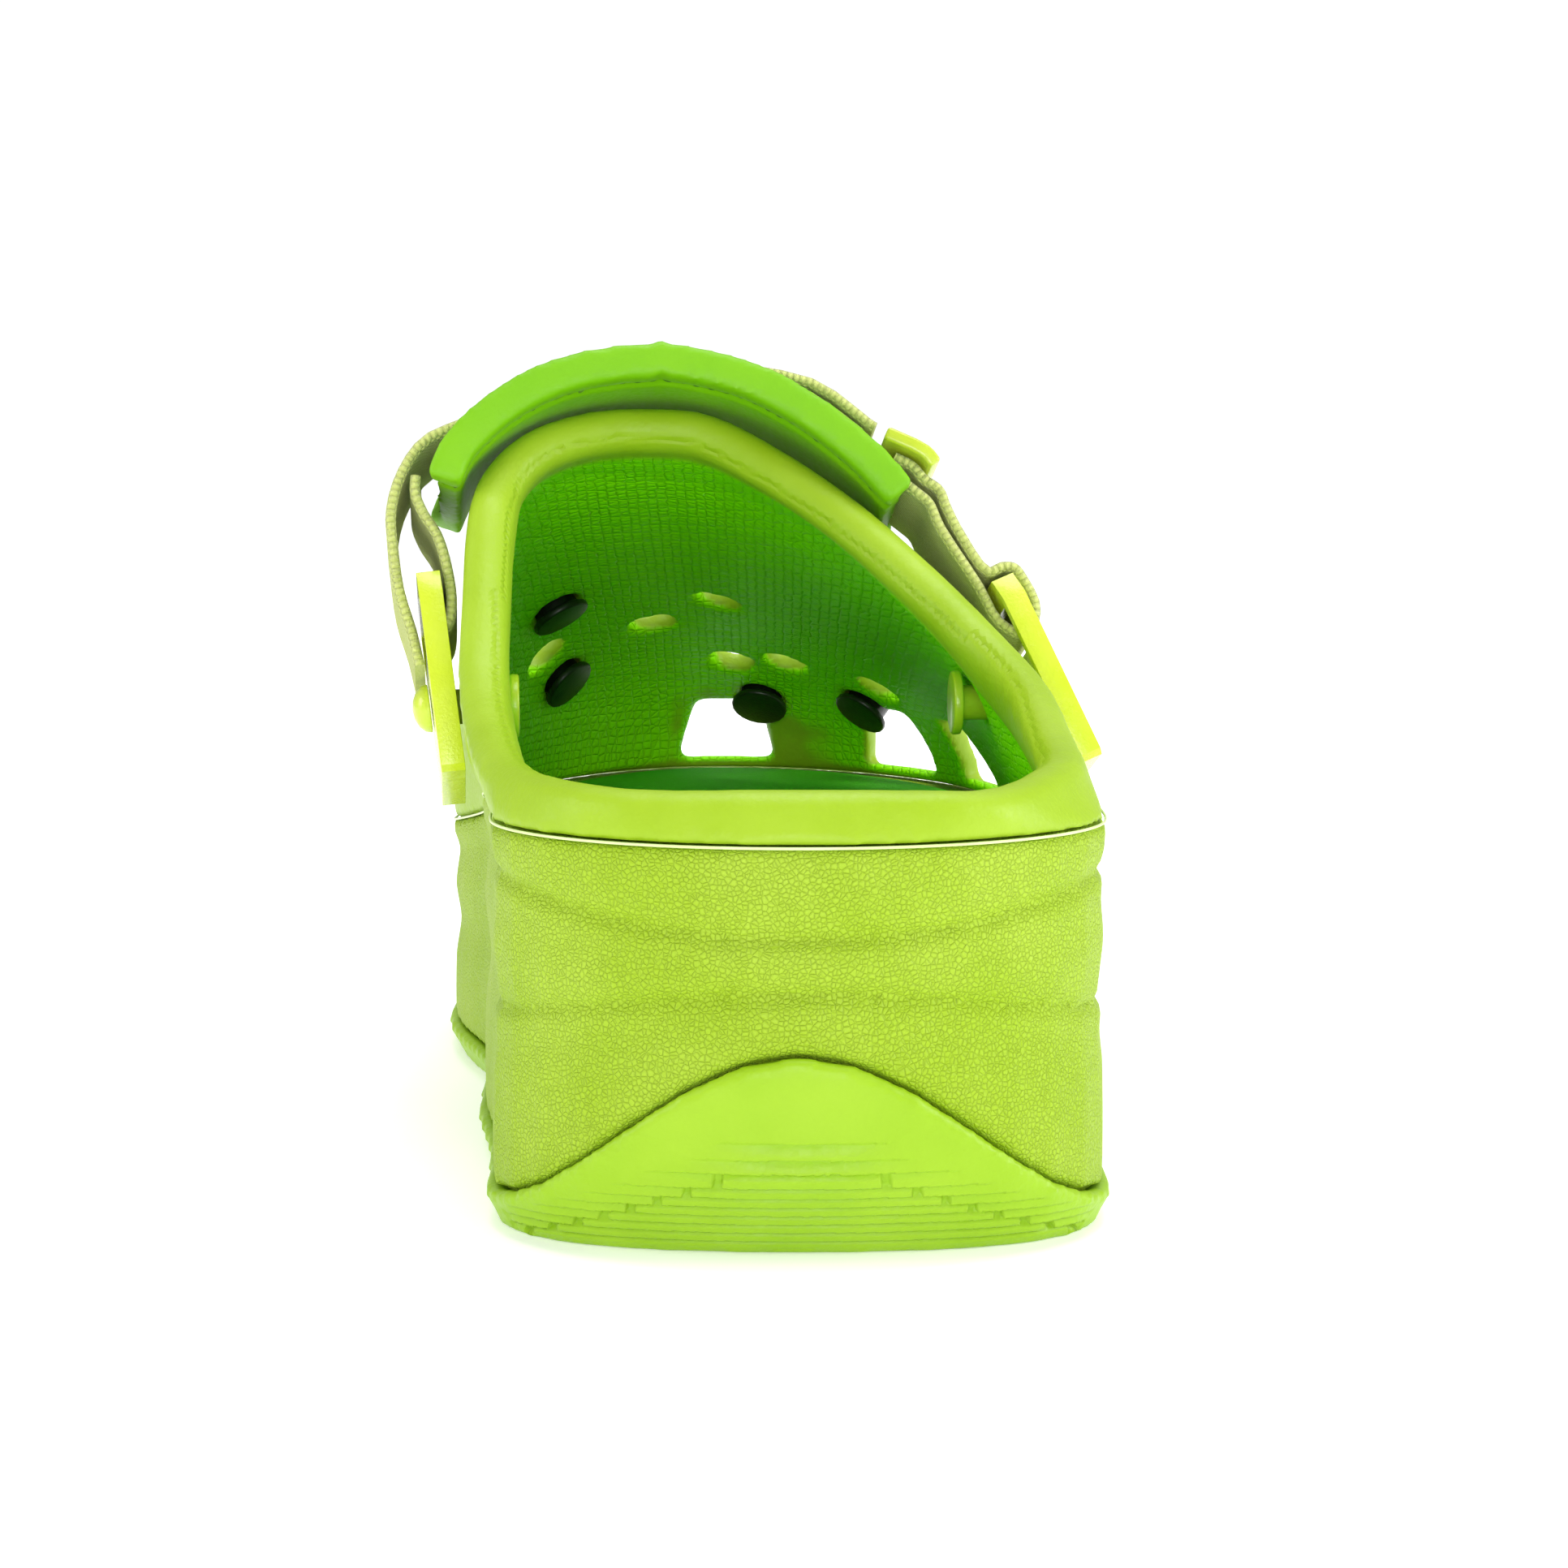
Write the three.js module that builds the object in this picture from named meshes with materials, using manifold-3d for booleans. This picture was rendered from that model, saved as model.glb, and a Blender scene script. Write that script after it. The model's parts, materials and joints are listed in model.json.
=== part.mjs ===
// Platform garden clog for the right foot, with a padded heel strap on two side rivets.
// Millimetres, +Z up, +Y to the toe, +X to the outer (lateral) side of the foot.
// The origin is on the floor, below the middle of the whole clog's outline box.
import * as THREE from "three";
import { mergeVertices } from "three/addons/utils/BufferGeometryUtils.js";
import Module from "manifold-3d";

// ---- driving dimensions -------------------------------------------------------------

const gap = 0.3; // air left between two pieces that touch
const soleLength = 278; // heel back to toe tip
const heel = { x: 2.1, y: 36, halfWidth: 47 };
const waist = { x: -2.5, y: 112, halfWidth: 48.5 };
const ball = { x: -6.5, y: 190, halfWidth: 56.5 };
const toeTipX = -14;
const outlineSteps = 80; // columns around the sole

const floorThickness = 3.5; // outsole under the midsole
const outsoleWall = 3;
const sideLip = 6; // height of the outsole's edge along the sides
const heelArchRise = 25.5; // how far the outsole climbs at the back of the heel
const toeRise = 14; // how far it climbs at the toe
const heelBevel = 12; // how far the heel's ground edge is cut back
const lipProud = 1;

const seamHeel = 61.4; // top of the midsole at the heel
const seamToe = 42; // and at the toe
const rimWidth = 8.6; // flat rim of the midsole that carries the upper
const creaseDepth = 1.2; // sculpted creases around the midsole
const lowerCrease = 0.37; // place of each crease among the midsole's levels
const upperCrease = 0.68;
const footbedHeel = 51;
const footbedToe = 43;
const footbedThickness = 4;

const shellWall = 4.5;
const lateralTuck = 0.26; // how much the lateral wall leans in at its foot
const collarRadius = 4; // the rolled edge of the foot opening
const instepHeight = 121; // highest point of the collar, before its roll
const heelCollar = 65.4; // lowest point of the collar, before its roll
const instepY = 127; // the collar's front end
const collarGirth = 670.8; // girth of the sole that the collar's stops are spaced for
const footAxis = { x: -5, z: 55 }; // line that the vents' angles are measured around
const ventRadius = 4.7;
const studHeadRadius = 5.8;
const studFlange = 1.4;
const studSag = 0.9; // room for the vamp's curve above a stud's flat head
const portWidth = 20.5;
const portHeight = 13;
const portTaper = 0.65; // top width over bottom width
const portSill = 44.6;

const pivot = { x: waist.x + 0.3, y: waist.y + 3, z: 71 }; // middle of the strap's hinge line
const pivotYaw = THREE.MathUtils.degToRad(5);
const strapLean = THREE.MathUtils.degToRad(18); // forward from upright, at rest
const clipThickness = 4;
const clipWidth = 31;
const clipBelow = 14.2; // from the rivet to the clip's lower end
const clipAbove = 20.5; // from the rivet to the clip's top
const clipChamfer = 4;
const clipBar = 5; // bar above the window, which the webbing goes around
const windowHeight = 8.5;
const windowWidth = 26.6;
const medialClip = { x: -waist.halfWidth - 7.4, lean: THREE.MathUtils.degToRad(6.6) };
const lateralClip = { x: waist.halfWidth - 1.6, lean: THREE.MathUtils.degToRad(23.3) };
const rivetRadius = 3;
const rivetHead = { radius: 5.5, height: 1.6 };
const rivetCap = { radius: 4.2, height: 3 };

const webbingWidth = 25;
const webbingThickness = 2;
const padWidth = 34;
const padThickness = 6;
const padChannel = 2; // depth of the pad's channel for the webbing
const tapeThickness = 0.8;
const slider = { width: 29, thickness: 2.4 };

// ---- colours ------------------------------------------------------------------------

const foam = (colour, roughness) =>
  new THREE.MeshStandardMaterial({ color: colour, roughness, metalness: 0 });
const midsoleFoam = foam(0xa8d024, 0.75);
const outsoleRubber = foam(0xb2dc3c, 0.55);
const upperFoam = foam(0x9fd012, 0.5);
const footbedFoam = foam(0x6fae08, 0.8);
const padFoam = foam(0x8fd006, 0.45);
const webbingKnit = foam(0xa0b247, 0.95);
const tapeKnit = foam(0xa6e020, 0.95);
const clipPlastic = foam(0xe3f24f, 0.35);
const sliderPlastic = foam(0xbfd83a, 0.35);
const rivetPlastic = foam(0xd3e437, 0.4);
const studPlastic = foam(0x0a0c0a, 0.5);

// ---- solids -------------------------------------------------------------------------

const wasm = await Module();
wasm.setup();

/** A closed geometry as a manifold solid. */
function solid(geometry) {
  const bare = geometry.clone();
  bare.deleteAttribute("normal");
  bare.deleteAttribute("uv");
  const merged = mergeVertices(bare, 1e-4);
  return new wasm.Manifold(
    new wasm.Mesh({
      numProp: 3,
      vertProperties: new Float32Array(merged.attributes.position.array),
      triVerts: new Uint32Array(merged.index.array),
    }),
  );
}

/** A manifold solid as a geometry again. */
function fromSolid(body) {
  const { vertProperties, triVerts } = body.getMesh();
  const geometry = new THREE.BufferGeometry();
  geometry.setAttribute("position", new THREE.BufferAttribute(vertProperties, 3));
  geometry.setIndex(new THREE.BufferAttribute(triVerts, 1));
  geometry.computeVertexNormals();
  return geometry;
}

/** A geometry from points and triangles. */
function meshOf(points, triangles) {
  const geometry = new THREE.BufferGeometry().setFromPoints(points);
  geometry.setIndex(triangles);
  geometry.computeVertexNormals();
  return geometry;
}

/**
 * Closed body of stacked rings, each counterclockwise from above, capped at both ends.
 * Each quad is split from its lower left corner, so a cup and what nests in it match.
 */
function ringStack(rings) {
  const count = rings[0].length;
  const points = rings.flat();
  const triangles = [];
  for (let i = 0; i + 1 < rings.length; i++) {
    for (let j = 0; j < count; j++) {
      const a = i * count + j;
      const b = i * count + ((j + 1) % count);
      const falls = points[a + count].z < points[a].z;
      if (falls) triangles.push(a, b, a + count, b, b + count, a + count);
      else triangles.push(a, b, b + count, a, b + count, a + count);
    }
  }
  const centreOf = (ring) =>
    ring.reduce((sum, p) => sum.add(p), new THREE.Vector3()).divideScalar(count);
  const bottom = points.push(centreOf(rings[0])) - 1;
  const top = points.push(centreOf(rings.at(-1))) - 1;
  const last = (rings.length - 1) * count;
  for (let j = 0; j < count; j++) {
    const next = (j + 1) % count;
    triangles.push(bottom, next, j, top, last + j, last + next);
  }
  return meshOf(points, triangles);
}

/** Closed body of sections around a loop, each section a closed ring of points. */
function loopBody(sections) {
  const count = sections[0].length;
  const points = sections.flat();
  const triangles = [];
  for (let i = 0; i < sections.length; i++) {
    const far = ((i + 1) % sections.length) * count;
    for (let j = 0; j < count; j++) {
      const next = (j + 1) % count;
      const near = i * count;
      triangles.push(near + j, far + j, far + next, near + j, far + next, near + next);
    }
  }
  return meshOf(points, triangles);
}

/** Smooth step from 0 to 1 as t goes from 0 to 1. */
const ease = (t) => THREE.MathUtils.smoothstep(t, 0, 1);

// ---- sole outline -------------------------------------------------------------------

/** Plan outline of the sole, counterclockwise from the back of the heel. */
function soleShape() {
  const round = 0.5523; // handle of a quarter circle as a Bezier curve
  const side = (s, from, to) => {
    const bend = (to.y - from.y) / 2;
    const x = (at) => at.x + s * at.halfWidth;
    shape.bezierCurveTo(x(from), from.y + bend, x(to), to.y - bend, x(to), to.y);
  };
  const shape = new THREE.Shape();
  const heelRight = heel.x + heel.halfWidth;
  const heelLeft = heel.x - heel.halfWidth;
  const toeHandleY = ball.y + (soleLength - ball.y) * round;
  shape.moveTo(heel.x, 0);
  shape.bezierCurveTo(
    heel.x + heel.halfWidth * round, 0, heelRight, heel.y * (1 - round), heelRight, heel.y,
  );
  side(1, heel, waist);
  side(1, waist, ball);
  const ballRight = ball.x + ball.halfWidth;
  const ballLeft = ball.x - ball.halfWidth;
  shape.bezierCurveTo(
    ballRight, toeHandleY, toeTipX + (ballRight - toeTipX) * round, soleLength,
    toeTipX, soleLength,
  );
  shape.bezierCurveTo(
    toeTipX + (ballLeft - toeTipX) * round, soleLength, ballLeft, toeHandleY, ballLeft, ball.y,
  );
  side(-1, ball, waist);
  side(-1, waist, heel);
  shape.bezierCurveTo(
    heelLeft, heel.y * (1 - round), heel.x - heel.halfWidth * round, 0, heel.x, 0,
  );
  return shape;
}

const outline = soleShape().getSpacedPoints(outlineSteps).slice(0, outlineSteps);
const outlineGirth = soleShape().getLength();
const outlineNormals = outline.map((_, j) => {
  const ahead = outline[(j + 1) % outlineSteps];
  const behind = outline[(j + outlineSteps - 1) % outlineSteps];
  const tangent = ahead.clone().sub(behind).normalize();
  return new THREE.Vector2(tangent.y, -tangent.x);
});

/** Ring of the outline moved inwards; inset and height may be functions of the column. */
function ring(inset, height) {
  const value = (rule, j) => (typeof rule === "function" ? rule(j) : rule);
  return outline.map((point, j) => {
    const plan = point.clone().addScaledVector(outlineNormals[j], -value(inset, j));
    return new THREE.Vector3(plan.x, plan.y, value(height, j));
  });
}

// ---- heights along the sole ---------------------------------------------------------

const along = (y) => y / soleLength;
const seamAt = (y) =>
  THREE.MathUtils.lerp(seamHeel, seamToe, ease((along(y) - 0.2) / 0.52));
const footbedAt = (y) =>
  THREE.MathUtils.lerp(footbedHeel, footbedToe, ease((along(y) - 0.2) / 0.52));

/** How much a column is at the middle of the heel's back (1) or away from it (0). */
function backOfHeel(j) {
  const { x, y } = outline[j];
  const across = THREE.MathUtils.clamp((x - heel.x) / heel.halfWidth, -1, 1);
  return y < heel.y ? Math.cos((across * Math.PI) / 2) ** 1.5 : 0;
}

/** Height of the outsole's top edge at a column: an arch at the heel, a rise at the toe. */
function lipAt(j) {
  const frontOfToe = ease((along(outline[j].y) - 0.75) / 0.25);
  return sideLip + heelArchRise * backOfHeel(j) + toeRise * frontOfToe;
}

/** How far the ground edge is cut back: most at the middle of the heel and the toe. */
function bevelAt(j) {
  const atBack = Math.max(0, 1 - outline[j].y / (heel.y * 0.8));
  const atFront = Math.max(0, (along(outline[j].y) - 0.86) / 0.14);
  return 1.5 + (heelBevel - 1.5) * atBack ** 1.5 + 8 * atFront;
}

const seamOf = (j) => seamAt(outline[j].y);

// ---- outsole, midsole and footbed ---------------------------------------------------

/** Inset of the outsole's floor inside its wall, clear of the cut-back ground edge. */
const floorInset = (j) => outsoleWall * 0.5 + bevelAt(j);

function outsole() {
  const lowEdge = (j) => 0.55 * lipAt(j);
  return ringStack([
    ring(bevelAt, 0),
    ring((j) => 0.18 * bevelAt(j), (j) => Math.min(lowEdge(j), 13)),
    ring(-lipProud, (j) => lipAt(j) - 1.4),
    ring(-lipProud * 0.5, lipAt),
    ring(outsoleWall * 0.5, lipAt),
    ring(outsoleWall, (j) => lipAt(j) - 1),
    ring(floorInset, floorThickness),
  ]);
}

/** Inset of the midsole's side between the outsole's lip (0) and the seam (1). */
function midsoleSide(t) {
  const dip = (centre) => Math.exp(-(((t - centre) / 0.09) ** 2));
  return 0.4 + creaseDepth * (dip(lowerCrease) + dip(upperCrease));
}

/** Height of a level of the midsole's side, with the creases nearer at the heel's back. */
function midsoleHeight(j, t) {
  const foot = lipAt(j) + gap;
  const lower = THREE.MathUtils.lerp(0.5, 0.27, backOfHeel(j));
  const upper = THREE.MathUtils.lerp(0.86, 0.557, backOfHeel(j));
  let share = upper + ((1 - upper) * (t - upperCrease)) / (1 - upperCrease);
  if (t < lowerCrease) share = (lower * t) / lowerCrease;
  else if (t < upperCrease) {
    share = lower + ((upper - lower) * (t - lowerCrease)) / (upperCrease - lowerCrease);
  }
  return foot + (seamOf(j) - foot) * share;
}

function midsole() {
  const foot = (j) => lipAt(j) + gap;
  const level = (t) => ring(midsoleSide(t), (j) => midsoleHeight(j, t));
  const inside = outsoleWall + gap;
  const pocket = (j) => footbedAt(outline[j].y) - footbedThickness - gap;
  return ringStack([
    ring((j) => floorInset(j) + gap, floorThickness + gap),
    ring(inside, (j) => lipAt(j) - 1 + gap),
    ring(inside, foot),
    ...[0, 0.12, 0.24, 0.31, lowerCrease, 0.43, 0.52, 0.61, upperCrease, 0.75, 0.84, 0.92, 1]
      .map(level),
    ring(rimWidth, seamOf),
    ring(rimWidth, pocket),
  ]);
}

function footbed() {
  const inset = rimWidth + gap;
  const top = (j) => footbedAt(outline[j].y);
  return ringStack([
    ring(inset, (j) => top(j) - footbedThickness),
    ring(inset, (j) => top(j) - 1),
    ring(inset + 1, top),
  ]);
}

// ---- upper shell --------------------------------------------------------------------

// The collar runs around the foot opening. Each stop gives the fraction of the way around
// the sole that it belongs to, its place across and along the foot, and how far it has
// climbed from the back of the heel (0) to the instep (1).
const collarStops = [
  [0, 2.2, 2.5, 0],
  [0.05, 31, 8.5, 0],
  [0.098, 44.5, 34, 0.03],
  [0.135, 44.6, 57, 0.09],
  [0.17, 42.2, 80, 0.2],
  [0.195, 37.5, 92, 0.3],
  [0.22, 30.2, 101.5, 0.44],
  [0.26, 21.8, 109.5, 0.58],
  [0.31, 12.5, 116, 0.72],
  [0.38, 0, 122.5, 0.87],
  [0.46, -12.5, 126.4, 0.98],
  [0.53, -23, 127, 1],
  [0.6, -34, 125.5, 0.985],
  [0.67, -44.3, 120.5, 0.92],
  [0.73, -50.6, 114, 0.8],
  [0.775, -52.4, 105.5, 0.66],
  [0.81, -52.4, 94, 0.44],
  [0.845, -52, 80, 0.23],
  [0.875, -49.3, 60, 0.1],
  [0.91, -43.4, 33, 0.02],
  [0.955, -27, 8.5, 0],
];

/** Place of a collar stop, widened with the heel at the back and with the waist in front. */
function collarPoint([, x, y, climb]) {
  const forward = ease((y - 30) / 50);
  const widen = THREE.MathUtils.lerp(heel.halfWidth / 46.2, waist.halfWidth / 47.7, forward);
  return new THREE.Vector3(
    heel.x + (x - heel.x) * widen,
    (y * instepY) / 127,
    heelCollar + climb * (instepHeight - heelCollar),
  );
}

const collarCurve = new THREE.CatmullRomCurve3(
  collarStops.map(collarPoint), true, "centripetal",
);

/** Share of the way around the sole that a collar stop has at this sole's girth. */
function stopShare([share]) {
  const nearer = collarGirth / outlineGirth;
  if (share < 0.35) return share * nearer;
  return share > 0.65 ? 1 - (1 - share) * nearer : share;
}

/** Point of the collar for a fraction of the way around the sole. */
function collarAt(fraction) {
  const stops = collarStops.map(stopShare).concat(1);
  const k = Math.max(0, stops.findIndex((at) => at > fraction) - 1);
  const part = (fraction - stops[k]) / (stops[k + 1] - stops[k]);
  return collarCurve.getPoint((k + part) / collarStops.length);
}

/** The outer surface of the upper at a column: a curve from the seam to the collar. */
function wallCurve(j) {
  const foot = ring(0.4, (i) => seamOf(i) + gap)[j];
  const collar = collarAt(j / outlineSteps);
  const height = collar.z - foot.z;
  const reach = foot.clone().sub(collar).setZ(0);
  const distance = reach.length();
  const sideways = Math.abs(reach.x) / (distance + 1);
  const slope = THREE.MathUtils.lerp(0.5, 0.85, sideways);
  const upright = 1 - ease(distance / 30);
  const lateral = reach.x > 0 ? sideways : 0;
  const above = foot.clone().setZ(foot.z + THREE.MathUtils.lerp(0.47, 0.25, lateral) * height);
  above.x -= lateralTuck * lateral * height;
  const spread = THREE.MathUtils.lerp(0.45, 0.38, lateral);
  const shoulder = collar.clone().addScaledVector(reach, spread);
  const fall = spread * distance * slope * (1 + 0.6 * lateral);
  shoulder.z -= fall * ease(distance / 12) + 0.33 * height * upright;
  return new THREE.CubicBezierCurve3(foot, above, shoulder, collar);
}

const wallRows = 12;
const rollSteps = 6;
const wallGrid = outline.map((_, j) => wallCurve(j).getPoints(wallRows));

/** How much a column is a real wall (1) instead of the low collar behind the heel (0). */
function wallness(j) {
  const height = wallGrid[j][wallRows].z - wallGrid[j][0].z;
  return ease((height - 6) / 24);
}

/** Outward normal of the upper's outer surface at column j, row i. */
function wallNormal(j, i) {
  const columns = wallGrid.length;
  const across = wallGrid[(j + 1) % columns][i]
    .clone()
    .sub(wallGrid[(j + columns - 1) % columns][i]);
  const up = wallGrid[j][Math.min(i + 1, wallRows)].clone().sub(wallGrid[j][Math.max(i - 1, 0)]);
  const plan = new THREE.Vector3(outlineNormals[j].x, outlineNormals[j].y, 0);
  return plan.lerp(across.cross(up).normalize(), wallness(j)).normalize();
}

/** Cross-section of the upper at a column: out, round the rolled collar and back inside. */
function shellSection(j) {
  const points = wallGrid[j];
  const section = points.map((p) => p.clone());
  const top = points[wallRows];
  const normal = wallNormal(j, wallRows);
  const rise = top.clone().sub(points[wallRows - 1]);
  rise.addScaledVector(normal, -rise.dot(normal)).normalize();
  const centre = top.clone().addScaledVector(normal, -collarRadius);
  for (let k = 1; k < rollSteps; k++) {
    const angle = (Math.PI * k) / rollSteps;
    section.push(
      centre
        .clone()
        .addScaledVector(normal, collarRadius * Math.cos(angle))
        .addScaledVector(rise, collarRadius * Math.sin(angle)),
    );
  }
  for (let i = wallRows; i >= 0; i--) {
    const toCollar = points[i].distanceTo(top);
    const swell = (2 * collarRadius - shellWall) * (1 - ease((toCollar - 3) / 12));
    const outward = wallNormal(j, i);
    outward.z *= ease((points[i].z - points[0].z) / (2 * shellWall + 2 * collarRadius));
    section.push(points[i].clone().addScaledVector(outward.normalize(), -(shellWall + swell)));
  }
  return section;
}

const plainShell = loopBody(outline.map((_, j) => shellSection(j)));
const plainShellMesh = new THREE.Mesh(
  plainShell, new THREE.MeshBasicMaterial({ side: THREE.DoubleSide }),
);

/** First place where a ray meets the upper before it is pierced, or its second place. */
function shellHit(origin, direction, order = 0) {
  return new THREE.Raycaster(origin, direction).intersectObject(plainShellMesh)[order];
}

/** Place on the inside of the upper, and the outward normal there, seen from the foot. */
function insideAt([share, degrees]) {
  const angle = THREE.MathUtils.degToRad(degrees);
  const eye = new THREE.Vector3(footAxis.x, share * soleLength, footAxis.z);
  const hit = shellHit(eye, new THREE.Vector3(Math.cos(angle), 0, Math.sin(angle)));
  return { point: hit.point, normal: hit.face.normal.clone().negate() };
}

/** Turn and move a geometry that is drawn around the z axis onto a line in space. */
function aim(geometry, { point, normal }) {
  const turn = new THREE.Quaternion().setFromUnitVectors(new THREE.Vector3(0, 0, 1), normal);
  return geometry.applyMatrix4(
    new THREE.Matrix4().compose(point, turn, new THREE.Vector3(1, 1, 1)),
  );
}

/** Drum centred on the origin, with its axis along z. */
function drum(radius, height, segments) {
  return new THREE.CylinderGeometry(radius, radius, height, segments).rotateX(Math.PI / 2);
}

// Vents, and the vents that a black stud closes: place along the sole as a share of its
// length, and angle around the foot from the lateral side (0) over the top (90).
const openVents = [
  [0.762, 107], [0.827, 136], [0.788, 160], [0.9, 117], [0.876, 66], [0.837, 17],
];
const studVents = [[0.719, 146], [0.838, 166], [0.944, 88], [0.885, 8]];
const portHeadings = [-4, 27, 56]; // degrees from straight ahead, towards the lateral side

/** Trapezoid port through the toe wall, in a heading from the ball of the foot. */
function portCutter(heading) {
  const wide = portWidth / 2;
  const narrow = wide * portTaper;
  const shape = new THREE.Shape(
    [[-wide, 0], [wide, 0], [narrow, portHeight], [-narrow, portHeight]].map(
      ([x, z]) => new THREE.Vector2(x, z),
    ),
  );
  const depth = soleLength - ball.y;
  const prism = new THREE.ExtrudeGeometry(shape, { depth, bevelEnabled: false });
  prism.rotateX(Math.PI / 2).translate(0, depth * 1.35, portSill);
  prism.rotateZ(-THREE.MathUtils.degToRad(heading));
  return solid(prism.translate(ball.x, ball.y, 0));
}

function upperShell() {
  let body = solid(plainShell);
  for (const vent of [...openVents, ...studVents]) {
    body = body.subtract(solid(aim(drum(ventRadius, 6 * shellWall, 20), insideAt(vent))));
  }
  for (const heading of portHeadings) body = body.subtract(portCutter(heading));
  for (const side of [-1, 1]) {
    body = body.subtract(solid(rivetBore(side).applyMatrix4(strapTurn)));
  }
  return fromSolid(body);
}

/** Black stud that fills a vent, with a flat round head under the vamp. */
function ventStud(vent) {
  const shank = ventRadius - gap;
  const seat = -gap - studSag;
  const profile = [
    [0, seat - studFlange], [studHeadRadius, seat - studFlange], [studHeadRadius, seat],
    [shank, seat], [shank, shellWall], [shank - 0.8, shellWall + 0.8], [0, shellWall + 0.8],
  ].map(([r, h]) => new THREE.Vector2(r, h));
  return aim(new THREE.LatheGeometry(profile, 20).rotateX(Math.PI / 2), insideAt(vent));
}

// ---- heel strap ---------------------------------------------------------------------

// The strap is drawn upright in its own frame: x along the hinge line, z away from it,
// y across its width. The group then leans it forward over the instep.
const strapTurn = new THREE.Matrix4()
  .makeTranslation(pivot.x, pivot.y, pivot.z)
  .multiply(new THREE.Matrix4().makeRotationZ(pivotYaw));
const strapLeaned = strapTurn.clone().multiply(new THREE.Matrix4().makeRotationX(-strapLean));

/** Bore for one rivet, along the hinge line, in the strap's own frame. */
function rivetBore(side) {
  const bore = drum(rivetRadius + gap, 40, 24).rotateY(Math.PI / 2);
  return bore.translate(clipOf(side).x, 0, 0);
}

const clipOf = (side) => (side < 0 ? medialClip : lateralClip);

/** Point [x, z] at a height along a clip's plate and a distance outside its middle. */
function beside(side, up, out) {
  const { x, lean } = clipOf(side);
  return [
    x - Math.sin(lean) * up + side * Math.cos(lean) * out,
    Math.cos(lean) * up + side * Math.sin(lean) * out,
  ];
}

/** Side clip: a plate with a window for the webbing and a hole for the rivet. */
function clip(side) {
  const half = clipWidth / 2;
  const top = clipAbove;
  const cut = clipChamfer;
  const shape = new THREE.Shape(
    [
      [-half, top - cut], [-half, -clipBelow + 1], [-half + 1, -clipBelow],
      [half - 1, -clipBelow], [half, -clipBelow + 1], [half, top - cut],
      [half - cut * 0.6, top], [-half + cut * 0.6, top],
    ].map(([y, z]) => new THREE.Vector2(y, z)),
  );
  const windowTop = clipAbove - clipBar;
  const halfWindow = windowWidth / 2;
  shape.holes.push(
    new THREE.Path(
      [
        [-halfWindow, windowTop - windowHeight], [halfWindow, windowTop - windowHeight],
        [halfWindow, windowTop], [-halfWindow, windowTop],
      ].map(([y, z]) => new THREE.Vector2(y, z)),
    ),
  );
  const plate = new THREE.ExtrudeGeometry(shape, { depth: clipThickness, bevelEnabled: false });
  plate.translate(0, 0, -clipThickness / 2);
  plate.rotateX(Math.PI / 2);
  plate.rotateZ(Math.PI / 2);
  plate.rotateY(-clipOf(side).lean);
  plate.translate(clipOf(side).x, 0, 0);
  return fromSolid(solid(plate).subtract(solid(rivetBore(side))));
}

/** Smooth route in the strap's x-z plane, with the left-hand normal at each point. */
function routeOf(points, steps) {
  const curve = new THREE.CatmullRomCurve3(
    points.map(([x, z]) => new THREE.Vector3(x, z, 0)), false, "centripetal",
  );
  return curve.getPoints(steps).map((p, i, all) => {
    const tangent = all[Math.min(i + 1, steps)].clone().sub(all[Math.max(i - 1, 0)]).normalize();
    return { x: p.x, z: p.y, nx: -tangent.y, nz: tangent.x };
  });
}

/** Points [x, z] of a route, moved sideways along its left-hand normal. */
const offsetRoute = (route, distance) =>
  route.map(({ x, z, nx, nz }) => [x + nx * distance, z + nz * distance]);

/** Band that fills a route between two sideways distances, across the strap's width. */
function band(route, from, to, width) {
  const edge = [...offsetRoute(route, to), ...offsetRoute(route, from).reverse()];
  const shape = new THREE.Shape(edge.map(([x, z]) => new THREE.Vector2(x, z)));
  const body = new THREE.ExtrudeGeometry(shape, { depth: width, bevelEnabled: false });
  return body.translate(0, 0, -width / 2).rotateX(Math.PI / 2);
}

/** Points [x, z] of the strap, stretched with the foot's width and the instep's height. */
const fitted = (points) =>
  points.map(([x, z]) => [(x * waist.halfWidth) / 48.5, (z * (instepHeight - pivot.z)) / 50]);

// Outer face of the pad, from its medial end over the instep to its lateral end.
const padPoints = fitted([
  [-58.3, 36.6], [-56, 42.2], [-51.3, 47.6], [-44.2, 53], [-34.2, 57.4], [-18.6, 59.4],
  [-9, 57.9], [-2, 55.7], [7.2, 50.7], [17.6, 42.3], [24, 34.9],
]);
const padSteps = 24;
const padRoute = routeOf(padPoints, padSteps);
const halfWeb = webbingThickness / 2;
const onPad = offsetRoute(padRoute, gap + halfWeb - padChannel);
const tapeFoot = webbingThickness + 2 * gap - padChannel; // over the lateral webbing
const besideClip = clipThickness / 2 + gap + halfWeb;

/** Main webbing: its tail outside the medial clip, up and over the pad to its end. */
function strapWebbing() {
  const overTape = offsetRoute(padRoute, tapeFoot + tapeThickness + gap + halfWeb);
  const points = [
    beside(-1, rivetCap.radius + gap + 0.4, besideClip),
    beside(-1, 11, besideClip + 0.6),
    beside(-1, 18, besideClip + 1.8),
    ...fitted([[-64.1, 25.5], [-64.4, 31], [-62.7, 37.5], [-58.6, 43.6]]),
    ...onPad.filter((_, i) => i >= 5 && i <= 16 && i % 2 === 1),
    overTape[19],
    overTape[21],
    ...fitted([[18.1, 45.8]]),
  ];
  return band(routeOf(points, 44), -halfWeb, halfWeb, webbingWidth);
}

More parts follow.
